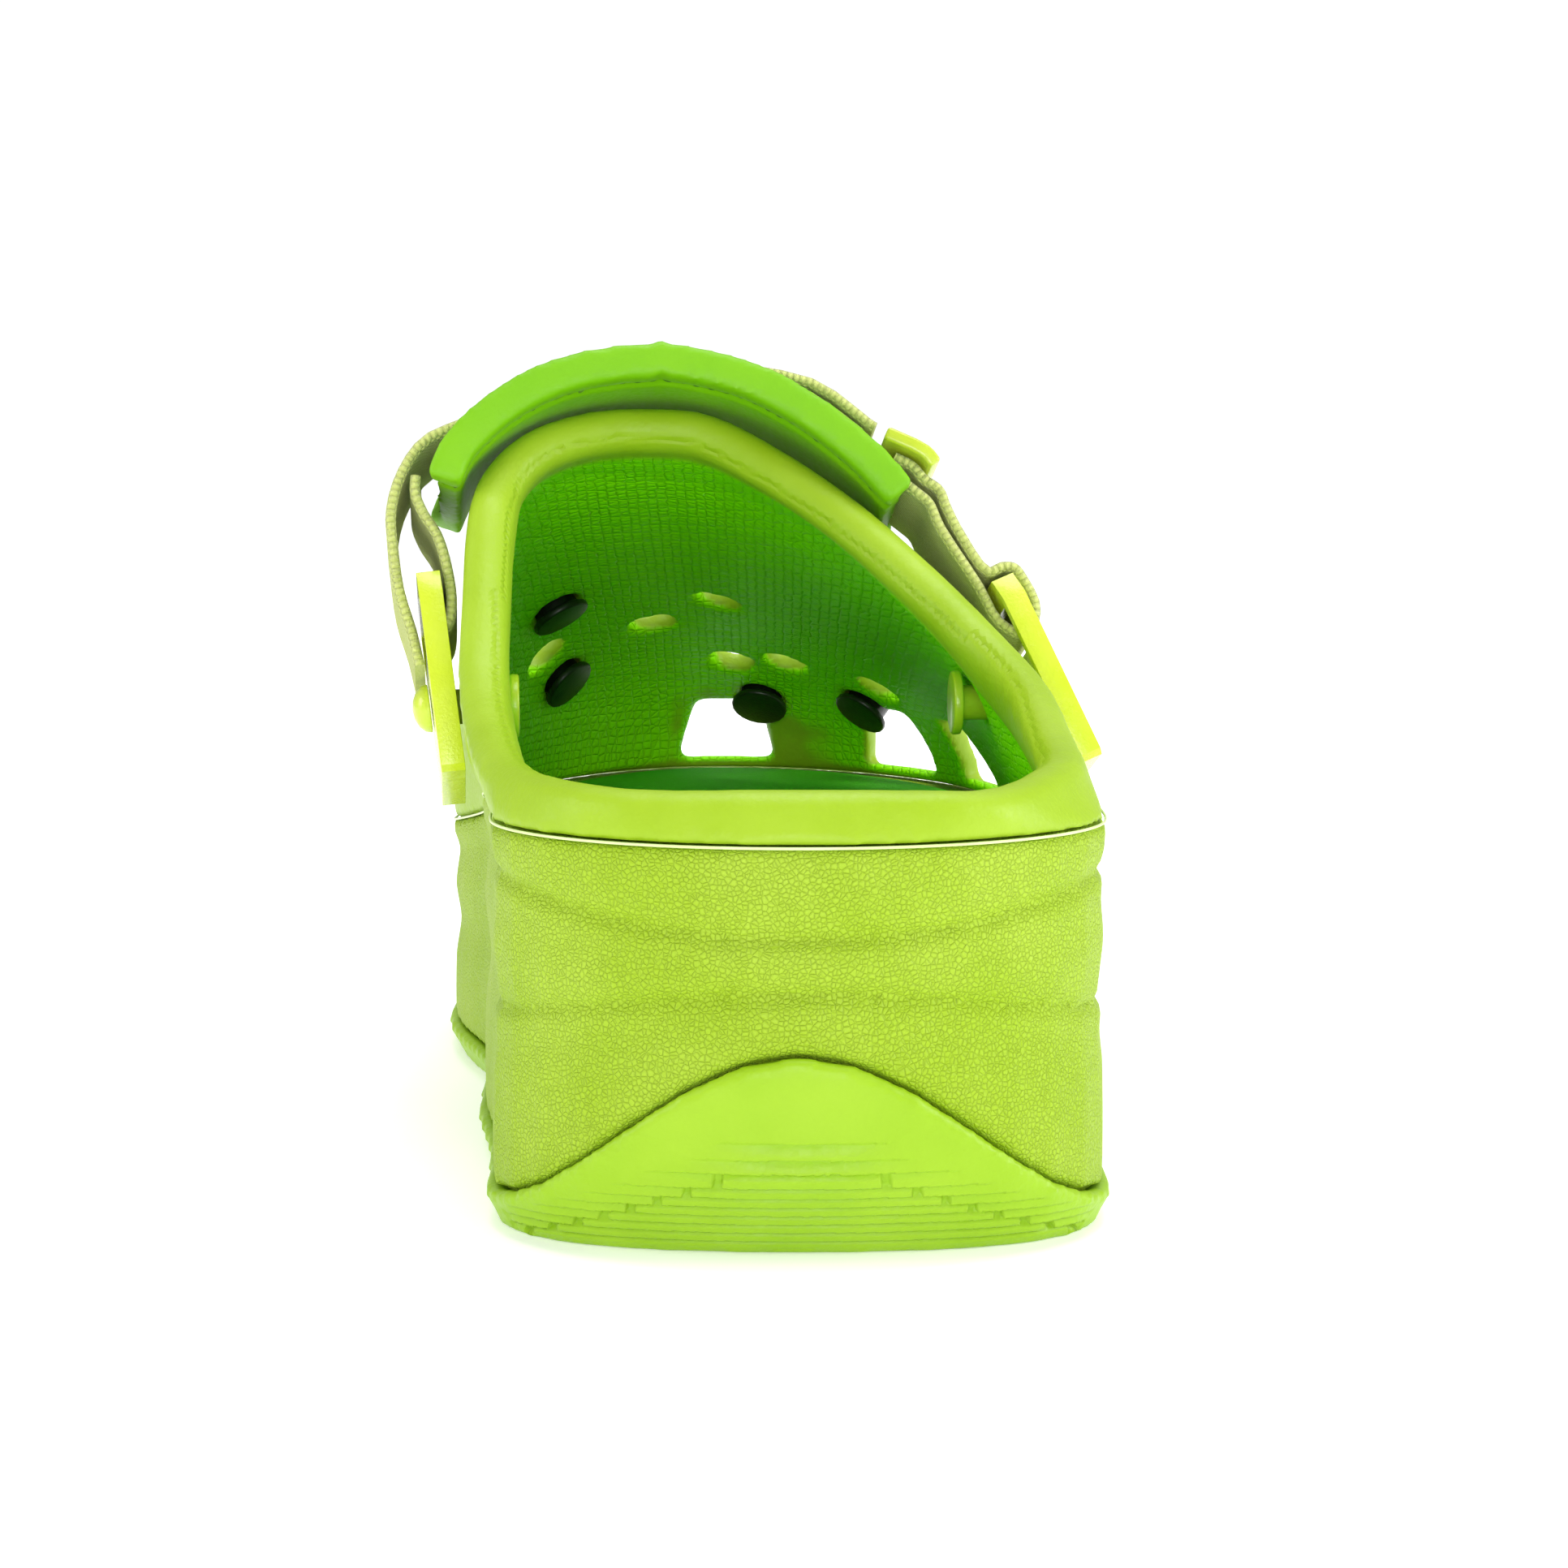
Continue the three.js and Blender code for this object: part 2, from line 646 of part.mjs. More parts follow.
/** Short webbing inside the medial clip, which turns out through its window. */
function medialWebbing() {
  const turn = clipAbove - clipBar - gap - halfWeb - 1.5;
  const points = [
    ...fitted([[-60.2, 37.4], [-60.3, 34.5], [-59, 31], [-56.7, 27.2]]),
    beside(-1, 21.5, -besideClip),
    beside(-1, turn + 2, -besideClip),
    beside(-1, turn - 1.8, -besideClip + 1.4),
    beside(-1, turn - 2.2, besideClip - 2.4),
  ];
  return band(routeOf(points, 26), -halfWeb, halfWeb, webbingWidth);
}

/** Lateral webbing: down inside the clip, through its window, up and back over its bar. */
function lateralWebbing() {
  const turn = clipAbove - clipBar - gap - halfWeb - 1.5;
  const points = [
    onPad[19], onPad[21], onPad[23],
    ...fitted([[25, 34.2], [27, 32.3], [28.6, 28.3]]),
    beside(1, 21, -besideClip - 0.7),
    beside(1, turn + 1, -besideClip - 0.1),
    beside(1, turn - 2.6, 0),
    beside(1, turn + 1, besideClip + 0.1),
    beside(1, clipAbove - 1.2, besideClip + 0.2),
    beside(1, clipAbove + 0.9, besideClip - 0.3),
    beside(1, clipAbove + 1.9, 1.3),
    beside(1, clipAbove + 2.1, -1.4),
    ...fitted([
      [32.4, 26.3], [29.9, 31.6], [28.8, 34.6], [26.2, 36.6], [24.3, 38.9], [21.3, 40.5],
    ]),
  ];
  return band(routeOf(points, 60), -halfWeb, halfWeb, webbingWidth);
}

/** Hook tape under the end of the main webbing. */
function hookTape() {
  return band(padRoute.slice(19, 22), tapeFoot, tapeFoot + tapeThickness, webbingWidth - 1);
}

/** Foam pad, with a channel along its outer face that the webbing lies in. */
function strapPad() {
  const channel = band(padRoute, -padChannel, 1, webbingWidth + 2 * gap);
  return fromSolid(solid(band(padRoute, -padThickness, 0, padWidth)).subtract(solid(channel)));
}

/** Slider: a bowed plate over the two layers of the lateral webbing. */
function strapSlider() {
  const route = routeOf(fitted([[19.7, 44.1], [26.3, 40.8], [28, 38.6]]), 6);
  return band(route, -slider.thickness / 2, slider.thickness / 2, slider.width);
}

/** Distance from a clip's middle inwards to where a rivet's flat head clears the wall. */
function rivetSeat(side) {
  const rim = Array.from({ length: 12 }, (_, k) => (k * Math.PI) / 6);
  const inwards = new THREE.Vector3(side, 0, 0).transformDirection(strapTurn);
  const depths = rim.map((angle) => {
    const { radius } = rivetHead;
    const start = new THREE.Vector3(0, radius * Math.cos(angle), radius * Math.sin(angle));
    return shellHit(start.applyMatrix4(strapTurn), inwards).distance;
  });
  return Math.abs(clipOf(side).x) - Math.min(...depths) + gap;
}

/** Rivet stud on the hinge line: a flat head inside the wall and a shank through it. */
function rivetStud(side) {
  const face = clipThickness / 2 / Math.cos(clipOf(side).lean);
  const slack = Math.tan(Math.abs(clipOf(side).lean)) * rivetRadius;
  const end = face - slack - gap;
  const start = -(rivetSeat(side) + rivetHead.height);
  const profile = [
    [0, start], [rivetHead.radius, start], [rivetHead.radius, start + rivetHead.height],
    [rivetRadius, start + rivetHead.height], [rivetRadius, end], [0, end],
  ].map(([r, h]) => new THREE.Vector2(r, h));
  const stud = new THREE.LatheGeometry(profile, 24);
  stud.rotateZ(-side * Math.PI / 2);
  return stud.translate(clipOf(side).x, 0, 0);
}

/** Domed cap over the end of the rivet, on the clip's outer face. */
function rivetCover(side) {
  const { radius, height } = rivetCap;
  const base = clipThickness / 2 + gap;
  const profile = [new THREE.Vector2(0, base), new THREE.Vector2(radius, base)];
  for (const k of [1, 2, 3, 4]) {
    const angle = (k * Math.PI) / 8;
    profile.push(new THREE.Vector2(radius * Math.cos(angle), base + height * Math.sin(angle)));
  }
  const cap = new THREE.LatheGeometry(profile, 24);
  cap.rotateZ(-side * Math.PI / 2);
  cap.rotateY(-clipOf(side).lean);
  return cap.translate(clipOf(side).x, 0, 0);
}

// ---- assembly -----------------------------------------------------------------------

const clog = new THREE.Group();
const strap = new THREE.Group();
strap.applyMatrix4(strapLeaned);

function add(parent, name, geometry, material) {
  const mesh = new THREE.Mesh(geometry, material);
  mesh.name = name;
  parent.add(mesh);
  return mesh;
}

add(clog, "outsole", outsole(), outsoleRubber);
add(clog, "midsole", midsole(), midsoleFoam);
add(clog, "footbed", footbed(), footbedFoam);
add(clog, "upper_shell", upperShell(), upperFoam);
studVents.forEach((vent, k) => add(clog, `vent_stud_${k + 1}`, ventStud(vent), studPlastic));
for (const [name, side] of [["medial", -1], ["lateral", 1]]) {
  const stud = rivetStud(side).applyMatrix4(strapTurn);
  add(clog, `${name}_rivet`, stud, rivetPlastic);
  add(strap, `${name}_clip`, clip(side), clipPlastic);
  add(strap, `${name}_rivet_cap`, rivetCover(side), rivetPlastic);
}
add(strap, "strap_pad", strapPad(), padFoam);
add(strap, "strap_webbing", strapWebbing(), webbingKnit);
add(strap, "medial_webbing", medialWebbing(), webbingKnit);
add(strap, "lateral_webbing", lateralWebbing(), webbingKnit);
add(strap, "hook_tape", hookTape(), tapeKnit);
add(strap, "strap_slider", strapSlider(), sliderPlastic);
clog.add(strap);

const box = new THREE.Box3().setFromObject(clog);
const middle = box.getCenter(new THREE.Vector3());
clog.position.set(-middle.x, -middle.y, -box.min.z);

export default clog;
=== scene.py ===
"""Platform garden clog for the right foot, seen from behind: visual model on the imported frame."""

import json
import logging
import math
from dataclasses import dataclass, field
from enum import Enum

import bmesh
import bpy
from mathutils import Euler, Matrix, Vector
from mathutils.bvhtree import BVHTree


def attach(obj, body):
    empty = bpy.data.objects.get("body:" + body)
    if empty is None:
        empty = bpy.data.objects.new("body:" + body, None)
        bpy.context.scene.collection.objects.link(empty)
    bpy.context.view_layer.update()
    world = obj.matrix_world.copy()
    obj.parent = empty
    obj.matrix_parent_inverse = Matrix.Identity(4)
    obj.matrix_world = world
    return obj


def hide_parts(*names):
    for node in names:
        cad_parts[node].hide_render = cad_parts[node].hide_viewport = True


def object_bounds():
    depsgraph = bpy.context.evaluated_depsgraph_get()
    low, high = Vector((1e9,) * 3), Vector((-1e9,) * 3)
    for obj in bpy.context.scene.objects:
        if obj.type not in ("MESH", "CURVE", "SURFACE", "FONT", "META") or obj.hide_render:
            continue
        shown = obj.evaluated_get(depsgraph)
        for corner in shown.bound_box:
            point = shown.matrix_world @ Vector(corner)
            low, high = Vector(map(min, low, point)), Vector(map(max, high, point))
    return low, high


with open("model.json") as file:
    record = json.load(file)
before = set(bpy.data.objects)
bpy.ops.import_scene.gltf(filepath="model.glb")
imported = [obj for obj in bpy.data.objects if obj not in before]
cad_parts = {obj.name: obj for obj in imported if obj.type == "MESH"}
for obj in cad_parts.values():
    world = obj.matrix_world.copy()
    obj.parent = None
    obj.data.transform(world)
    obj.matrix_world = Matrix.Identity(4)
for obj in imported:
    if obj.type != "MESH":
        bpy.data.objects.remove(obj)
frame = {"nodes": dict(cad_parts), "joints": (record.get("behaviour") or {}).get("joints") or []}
CAD_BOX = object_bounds()
MM = 0.001
LOG = logging.getLogger("clog")

Node = bpy.types.Node
Tree = bpy.types.NodeTree
Mesh = bmesh.types.BMesh


class Body(Enum):
    """The two rigid bodies of the clog."""

    CLOG = "clog"
    STRAP = "strap"


# ---- shader groups ------------------------------------------------------------------


def srgb(red: int, green: int, blue: int) -> tuple[float, float, float, float]:
    """Linear colour of an sRGB colour.

    Args:
        red: Red, 0 to 255.
        green: Green, 0 to 255.
        blue: Blue, 0 to 255.

    Returns:
        Linear red, green, blue and an alpha of 1.
    """
    linear = [
        c / 12.92 if c <= 0.04045 else ((c + 0.055) / 1.055) ** 2.4
        for c in (red / 255, green / 255, blue / 255)
    ]
    return (linear[0], linear[1], linear[2], 1.0)


def new_group(name: str, inputs: dict[str, float], outputs: dict[str, str]) -> Tree:
    """Empty shader node group with its sockets.

    Args:
        name: Name of the group.
        inputs: Float inputs and their usual values.
        outputs: Outputs and their socket types.

    Returns:
        The group's node tree.
    """
    group = bpy.data.node_groups.new(name, "ShaderNodeTree")
    for label, value in inputs.items():
        socket = group.interface.new_socket(
            label, in_out="INPUT", socket_type="NodeSocketFloat"
        )
        socket.default_value = value
    for label, kind in outputs.items():
        group.interface.new_socket(label, in_out="OUTPUT", socket_type=kind)
    return group


def math_node(
    tree: Tree, kind: str, first: object, second: object = 0.0, clamp: bool = False
) -> object:
    """Math node whose inputs are sockets or numbers.

    Args:
        tree: The node tree to add it to.
        kind: The math operation.
        first: First input.
        second: Second input.
        clamp: True keeps the result from 0 to 1.

    Returns:
        The node's output socket.
    """
    node = tree.nodes.new("ShaderNodeMath")
    node.operation = kind
    node.use_clamp = clamp
    for index, value in enumerate((first, second)):
        if isinstance(value, (int, float)):
            node.inputs[index].default_value = value
        else:
            tree.links.new(value, node.inputs[index])
    return node.outputs[0]


def ramp(
    tree: Tree, value: object, low: float, high: float, start: float = 0, end: float = 1
) -> object:
    """Smooth map of a value from one range to another.

    Args:
        tree: The node tree to add it to.
        value: The socket to map.
        low: Value that gives start.
        high: Value that gives end.
        start: Result at low.
        end: Result at high.

    Returns:
        The mapped output socket.
    """
    node = tree.nodes.new("ShaderNodeMapRange")
    node.interpolation_type = "SMOOTHSTEP"
    tree.links.new(value, node.inputs["Value"])
    settings = {"From Min": low, "From Max": high, "To Min": start, "To Max": end}
    for label, number in settings.items():
        node.inputs[label].default_value = number
    return node.outputs["Result"]


def object_point(tree: Tree) -> object:
    """Object coordinates of a tree.

    Args:
        tree: The node tree to add the node to.

    Returns:
        The coordinates' output socket.
    """
    return tree.nodes.new("ShaderNodeTexCoord").outputs["Object"]


def mottle_group() -> Tree:
    """Slow and fine colour and gloss variation of moulded foam, from 0 to 1."""
    group = new_group(
        "mottle",
        {"Size mm": 25.0, "Fine mm": 1.2},
        {"Slow": "NodeSocketFloat", "Fine": "NodeSocketFloat"},
    )
    inside = group.nodes.new("NodeGroupInput")
    outside = group.nodes.new("NodeGroupOutput")
    point = object_point(group)
    for label, size in (("Slow", "Size mm"), ("Fine", "Fine mm")):
        texture = group.nodes.new("ShaderNodeTexNoise")
        texture.inputs["Detail"].default_value = 3
        scale = math_node(group, "DIVIDE", 1000.0, inside.outputs[size])
        group.links.new(scale, texture.inputs["Scale"])
        group.links.new(point, texture.inputs["Vector"])
        spread = ramp(group, texture.outputs[0], 0.3, 0.7)
        group.links.new(spread, outside.inputs[label])
    return group


def cells_group() -> Tree:
    """Rounded cells for leather grain or scales: Height is 1 on a cell and 0 between cells."""
    group = new_group(
        "cells",
        {"Size mm": 0.65, "Irregular": 1.0, "Groove": 0.25},
        {"Height": "NodeSocketFloat", "Tint": "NodeSocketFloat"},
    )
    inside = group.nodes.new("NodeGroupInput")
    outside = group.nodes.new("NodeGroupOutput")
    point = object_point(group)
    scale = math_node(group, "DIVIDE", 1000.0, inside.outputs["Size mm"])
    edge = group.nodes.new("ShaderNodeTexVoronoi")
    edge.feature = "DISTANCE_TO_EDGE"
    cell = group.nodes.new("ShaderNodeTexVoronoi")
    for texture in (edge, cell):
        group.links.new(point, texture.inputs["Vector"])
        group.links.new(scale, texture.inputs["Scale"])
        group.links.new(inside.outputs["Irregular"], texture.inputs["Randomness"])
    rise = math_node(group, "DIVIDE", edge.outputs["Distance"], inside.outputs["Groove"], True)
    round_top = math_node(group, "POWER", rise, 0.5)
    group.links.new(round_top, outside.inputs["Height"])
    split = group.nodes.new("ShaderNodeSeparateColor")
    group.links.new(cell.outputs["Color"], split.inputs[0])
    group.links.new(split.outputs[0], outside.inputs["Tint"])
    return group


def knit_group() -> Tree:
    """Knitted strap: lengthwise ribs and rows of stitches, on a UV map in millimetres."""
    group = new_group(
        "knit",
        {"Rib mm": 0.85, "Stitch mm": 1.1, "Half width mm": 12.5},
        {"Height": "NodeSocketFloat", "Shade": "NodeSocketFloat"},
    )
    inside = group.nodes.new("NodeGroupInput")
    outside = group.nodes.new("NodeGroupOutput")
    place = group.nodes.new("ShaderNodeUVMap")
    place.uv_map = "route"
    split = group.nodes.new("ShaderNodeSeparateXYZ")
    group.links.new(place.outputs[0], split.inputs[0])
    along, across = split.outputs[0], split.outputs[1]
    ribs = math_node(group, "DIVIDE", across, inside.outputs["Rib mm"])
    shifted = math_node(group, "MULTIPLY", math_node(group, "FLOOR", ribs), 0.5)
    rib = math_node(group, "PINGPONG", ribs, 0.5)
    rows = math_node(
        group, "ADD", math_node(group, "DIVIDE", along, inside.outputs["Stitch mm"]), shifted
    )
    row = math_node(group, "PINGPONG", rows, 0.5)
    rib_height = math_node(group, "POWER", math_node(group, "MULTIPLY", rib, 2.0), 0.6)
    row_height = math_node(group, "POWER", math_node(group, "MULTIPLY", row, 2.0), 0.8)
    from_edge = math_node(
        group, "SUBTRACT", inside.outputs["Half width mm"], math_node(group, "ABSOLUTE", across)
    )
    selvedge = ramp(group, from_edge, 1.6, 2.4, 1.0, 0.0)
    flat = math_node(
        group, "ADD", math_node(group, "MULTIPLY", rib_height, 0.7),
        math_node(group, "MULTIPLY", row_height, 0.3),
    )
    edge = math_node(group, "MULTIPLY", row_height, selvedge)
    height = math_node(group, "ADD", flat, edge)
    group.links.new(height, outside.inputs["Height"])
    group.links.new(math_node(group, "MULTIPLY", height, 0.6, True), outside.inputs["Shade"])
    return group


def wear_group() -> Tree:
    """Pale scuffs and dust in small patches, from 0 to 1, more of it low on the clog."""
    group = new_group(
        "wear", {"Amount": 0.5, "Size mm": 6.0, "Low mm": 40.0}, {"Mask": "NodeSocketFloat"}
    )
    inside = group.nodes.new("NodeGroupInput")
    outside = group.nodes.new("NodeGroupOutput")
    point = object_point(group)
    texture = group.nodes.new("ShaderNodeTexNoise")
    texture.inputs["Detail"].default_value = 6
    texture.inputs["Roughness"].default_value = 0.7
    group.links.new(point, texture.inputs["Vector"])
    scale = math_node(group, "DIVIDE", 1000.0, inside.outputs["Size mm"])
    group.links.new(scale, texture.inputs["Scale"])
    split = group.nodes.new("ShaderNodeSeparateXYZ")
    group.links.new(point, split.inputs[0])
    height = math_node(group, "MULTIPLY", split.outputs[2], 1000.0)
    low = math_node(group, "DIVIDE", height, inside.outputs["Low mm"])
    fade = ramp(group, low, 0.0, 1.0, 1.0, 0.45)
    patches = ramp(group, texture.outputs[0], 0.52, 0.78)
    faded = math_node(group, "MULTIPLY", patches, fade)
    mask = math_node(group, "MULTIPLY", faded, inside.outputs["Amount"])
    group.links.new(mask, outside.inputs["Mask"])
    return group


GROUPS: dict[str, Tree] = {
    "mottle": mottle_group(),
    "cells": cells_group(),
    "knit": knit_group(),
    "wear": wear_group(),
}


@dataclass
class Shader:
    """A material under construction, with helpers for its nodes."""

    name: str
    material: bpy.types.Material = field(init=False)
    tree: Tree = field(init=False)
    surface: Node = field(init=False)

    def __post_init__(self) -> None:
        """Make the material with its Principled BSDF."""
        self.material = bpy.data.materials.new(self.name)
        self.material.use_nodes = True
        self.tree = self.material.node_tree
        self.surface = self.tree.nodes["Principled BSDF"]

    def set(self, **values: object) -> None:
        """Set sockets of the surface, with underscores for spaces in their names."""
        for label, value in values.items():
            self.surface.inputs[label.replace("_", " ")].default_value = value

    def group(self, kind: str, **values: float) -> Node:
        """Place a shared group.

        Args:
            kind: Name of the group.
            **values: Inputs, with underscores for spaces in their names.

        Returns:
            The group node.
        """
        node = self.tree.nodes.new("ShaderNodeGroup")
        node.node_tree = GROUPS[kind]
        for label, value in values.items():
            node.inputs[label.replace("_", " ")].default_value = value
        return node

    def mix(self, share: object, first: object, second: object) -> object:
        """Mix two colours.

        Args:
            share: Socket or number from 0, all first, to 1, all second.
            first: Colour or socket.
            second: Colour or socket.

        Returns:
            The mixed colour socket.
        """
        node = self.tree.nodes.new("ShaderNodeMix")
        node.data_type = "RGBA"
        sockets = (node.inputs[0], node.inputs[6], node.inputs[7])
        for socket, value in zip(sockets, (share, first, second)):
            if isinstance(value, (float, int, tuple)):
                socket.default_value = value
            else:
                self.tree.links.new(value, socket)
        return node.outputs[2]

    def feed(self, label: str, value: object) -> None:
        """Link a socket to the surface.

        Args:
            label: Name of the surface's input.
            value: The output socket to link.
        """
        self.tree.links.new(value, self.surface.inputs[label])

    def bump(self, height: object, depth_mm: float, below: object = None) -> object:
        """Bump from a height of 0 to 1.

        Args:
            height: Height socket.
            depth_mm: How deep a height of 1 is.
            below: Normal of an earlier bump.

        Returns:
            The normal socket.
        """
        node = self.tree.nodes.new("ShaderNodeBump")
        node.inputs["Distance"].default_value = depth_mm * MM
        node.inputs["Strength"].default_value = 1.0
        self.tree.links.new(height, node.inputs["Height"])
        if below is not None:
            self.tree.links.new(below, node.inputs["Normal"])
        return node.outputs[0]

    def attribute(self, name: str) -> object:
        """Value of a mesh attribute.

        Args:
            name: Name of the attribute.

        Returns:
            The value's output socket.
        """
        node = self.tree.nodes.new("ShaderNodeAttribute")
        node.attribute_name = name
        return node.outputs["Fac"]


@dataclass(frozen=True)
class Foam:
    """Moulded foam skin: colour that drifts a little, satin gloss, fine pores with painted shade in
    their grooves, scuffs, and on the upper a brighter green painted inside as bounced light.
    """

    name: str
    base: tuple[float, float, float, float]
    pale: tuple[float, float, float, float]
    gloss: float = 0.42
    grain_mm: float = 0.0
    grain_depth_mm: float = 0.06
    wear: float = 0.3
    scales: bool = False
    # Painted light: a brighter, deeper green for the inside of the upper, standing for light
    # bounced within the clog.
    inside_bounce_light: tuple[float, float, float, float] = srgb(150, 246, 0)

    def build(self) -> bpy.types.Material:
        """Make the material."""
        shader = Shader(self.name)
        shader.set(Specular_IOR_Level=0.4, IOR=1.45)
        mottle = shader.group("mottle", Size_mm=28.0, Fine_mm=0.9)
        worn = shader.group("wear", Amount=self.wear)
        drift = math_node(shader.tree, "MULTIPLY", mottle.outputs["Slow"], 0.35)
        colour = shader.mix(drift, self.base, self.pale)
        normal = shader.bump(mottle.outputs["Fine"], 0.03)
        if self.grain_mm:
            grain = shader.group(
                "cells", Size_mm=self.grain_mm, Irregular=1.0, Groove=0.3
            )
            # Painted shade: the grooves between grain cells are darkened towards the base colour.
            groove_shade = ramp(shader.tree, grain.outputs["Height"], 0.0, 1.0, 0.35, 0.0)
            colour = shader.mix(groove_shade, colour, self.base)
            normal = shader.bump(grain.outputs["Height"], self.grain_depth_mm, normal)
        if self.scales:
            inside = shader.attribute("inside")
            scales = shader.group("cells", Size_mm=1.75, Irregular=0.3, Groove=0.22)
            height = math_node(shader.tree, "MULTIPLY", scales.outputs["Height"], inside)
            normal = shader.bump(height, 0.3, normal)
            # Painted light: the inside turns the brighter green of light bounced within the clog.
            colour = shader.mix(inside, colour, self.inside_bounce_light)
            shader.feed("Specular IOR Level", ramp(shader.tree, inside, 0.0, 1.0, 0.4, 0.12))
            parting = shader.attribute("parting")
            colour = shader.mix(
                math_node(shader.tree, "MULTIPLY", parting, 0.5), colour, self.base
            )
            normal = shader.bump(math_node(shader.tree, "SUBTRACT", 1.0, parting), 0.25, normal)
        colour = shader.mix(
            math_node(shader.tree, "MULTIPLY", worn.outputs["Mask"], 0.5), colour, self.pale
        )
        rough = math_node(
            shader.tree, "ADD", self.gloss,
            math_node(shader.tree, "MULTIPLY", mottle.outputs["Fine"], 0.1),
        )
        rough = math_node(
            shader.tree, "ADD", rough,
            math_node(shader.tree, "MULTIPLY", worn.outputs["Mask"], 0.25),
        )
        shader.feed("Base Color", colour)
        shader.feed("Roughness", rough)
        shader.feed("Normal", normal)
        return shader.material


@dataclass(frozen=True)
class Plastic:
    """Hard moulded plastic with a light skin of handling marks."""

    name: str
    base: tuple[float, float, float, float]
    pale: tuple[float, float, float, float]
    gloss: float = 0.25
    coat: float = 0.3

    def build(self) -> bpy.types.Material:
        """Make the material."""
        shader = Shader(self.name)
        shader.set(Specular_IOR_Level=0.5, Coat_Weight=self.coat, Coat_Roughness=0.15)
        mottle = shader.group("mottle", Size_mm=9.0, Fine_mm=0.5)
        worn = shader.group("wear", Amount=0.5, Size_mm=2.5, Low_mm=200.0)
        drift = math_node(shader.tree, "MULTIPLY", mottle.outputs["Slow"], 0.4)
        colour = shader.mix(drift, self.base, self.pale)
        colour = shader.mix(
            math_node(shader.tree, "MULTIPLY", worn.outputs["Mask"], 0.4), colour, self.pale
        )
        rough = math_node(
            shader.tree, "ADD", self.gloss,
            math_node(shader.tree, "MULTIPLY", worn.outputs["Mask"], 0.35),
        )
        shader.feed("Base Color", colour)
        shader.feed("Roughness", rough)
        shader.feed("Normal", shader.bump(mottle.outputs["Fine"], 0.02))
        return shader.material


@dataclass(frozen=True)
class Knit:
    """Knitted polyester webbing, dull, with ribs along it and looped edges."""

    name: str
    base: tuple[float, float, float, float]
    pale: tuple[float, float, float, float]
    rib_mm: float = 0.85
    stitch_mm: float = 1.15
    half_width_mm: float = 12.5
    depth_mm: float = 0.3

    def build(self) -> bpy.types.Material:
        """Make the material."""
        shader = Shader(self.name)
        shader.set(Specular_IOR_Level=0.25, Sheen_Weight=0.25, Sheen_Roughness=0.5)
        knit = shader.group(
            "knit", Rib_mm=self.rib_mm, Stitch_mm=self.stitch_mm,
            Half_width_mm=self.half_width_mm,
        )
        mottle = shader.group("mottle", Size_mm=7.0, Fine_mm=0.4)
        colour = shader.mix(knit.outputs["Shade"], self.base, self.pale)
        fluff = math_node(shader.tree, "MULTIPLY", mottle.outputs["Fine"], 0.25)
        colour = shader.mix(fluff, colour, self.pale)
        rough = ramp(shader.tree, mottle.outputs["Slow"], 0.0, 1.0, 0.8, 0.95)
        normal = shader.bump(mottle.outputs["Fine"], 0.08)
        shader.feed("Base Color", colour)
        shader.feed("Roughness", rough)
        shader.feed("Normal", shader.bump(knit.outputs["Height"], self.depth_mm, normal))
        return shader.material


FINISHES: dict[str, bpy.types.Material] = {
    finish.name: finish.build()
    for finish in (
        Foam("upper", srgb(144, 178, 14), srgb(174, 204, 62), 0.42, wear=0.25, scales=True),
        Foam("midsole", srgb(148, 182, 12), srgb(180, 206, 74), 0.5, 0.75, 0.2, 0.35),
        Foam("outsole", srgb(142, 184, 14), srgb(168, 204, 50), 0.38, wear=0.35),
        Foam("footbed", srgb(76, 190, 0), srgb(96, 200, 0), 0.7, 1.2, 0.08, 0.2),
        Foam("pad", srgb(110, 176, 0), srgb(138, 196, 8), 0.46, wear=0.2),
        Plastic("clip", srgb(202, 220, 34), srgb(216, 230, 84)),
        Plastic("slider", srgb(180, 200, 40), srgb(202, 218, 78), 0.3),
        Plastic("rivet", srgb(190, 212, 40), srgb(208, 224, 86), 0.3),
        # Painted shade: black finish for the discs that stand for the shade inside vent holes lying
        # in shadow.
        Plastic("stud", srgb(8, 12, 6), srgb(26, 32, 22), 0.4, 0.1),
        Plastic("glue", srgb(206, 226, 150), srgb(226, 238, 190), 0.35, 0.2),
        Plastic("thread", srgb(60, 104, 8), srgb(110, 160, 30), 0.7, 0.0),
        Knit("webbing", srgb(166, 178, 82), srgb(206, 216, 126)),
        Knit("tape", srgb(150, 210, 30), srgb(196, 238, 80), 0.6, 0.6, 12.0, 0.18),
    )
}


# ---- meshes -------------------------------------------------------------------------


def copy_of(node: str) -> Mesh:
    """Merged copy of a CAD node.

    Args:
        node: Name of the CAD node.

    Returns:
        The copy, with its doubles merged.
    """
    work = bmesh.new()
    work.from_mesh(frame["nodes"][node].data)
    bmesh.ops.remove_doubles(work, verts=work.verts, dist=1e-6)
    return work


def finished(
    work: Mesh,
    name: str,
    body: Body,
    finish: str,
    nodes: tuple[str, ...] = (),
    smooth_degrees: float = 180.0,
) -> bpy.types.Object:
    """Turn a bmesh into a piece of the clog.

    Args:
        work: The mesh, which is freed.
        name: Name of the piece.
        body: Body that it rides on.
        finish: Name of its finish.
        nodes: CAD nodes that it stands for.
        smooth_degrees: Edges sharper than this stay sharp.

    Returns:
        The new object.
    """
    limit = math.radians(smooth_degrees)
    for face in work.faces:
        face.smooth = True
    for edge in work.edges:
        edge.smooth = len(edge.link_faces) == 2 and edge.calc_face_angle(0.0) < limit
    mesh = bpy.data.meshes.new(name)
    work.to_mesh(mesh)
    work.free()
    piece = bpy.data.objects.new(name, mesh)
    bpy.context.scene.collection.objects.link(piece)
    mesh.materials.append(FINISHES[finish])
    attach(piece, body.value)
    if nodes:
        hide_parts(*nodes)
    LOG.info("%s: %d faces", name, len(mesh.polygons))
    return piece


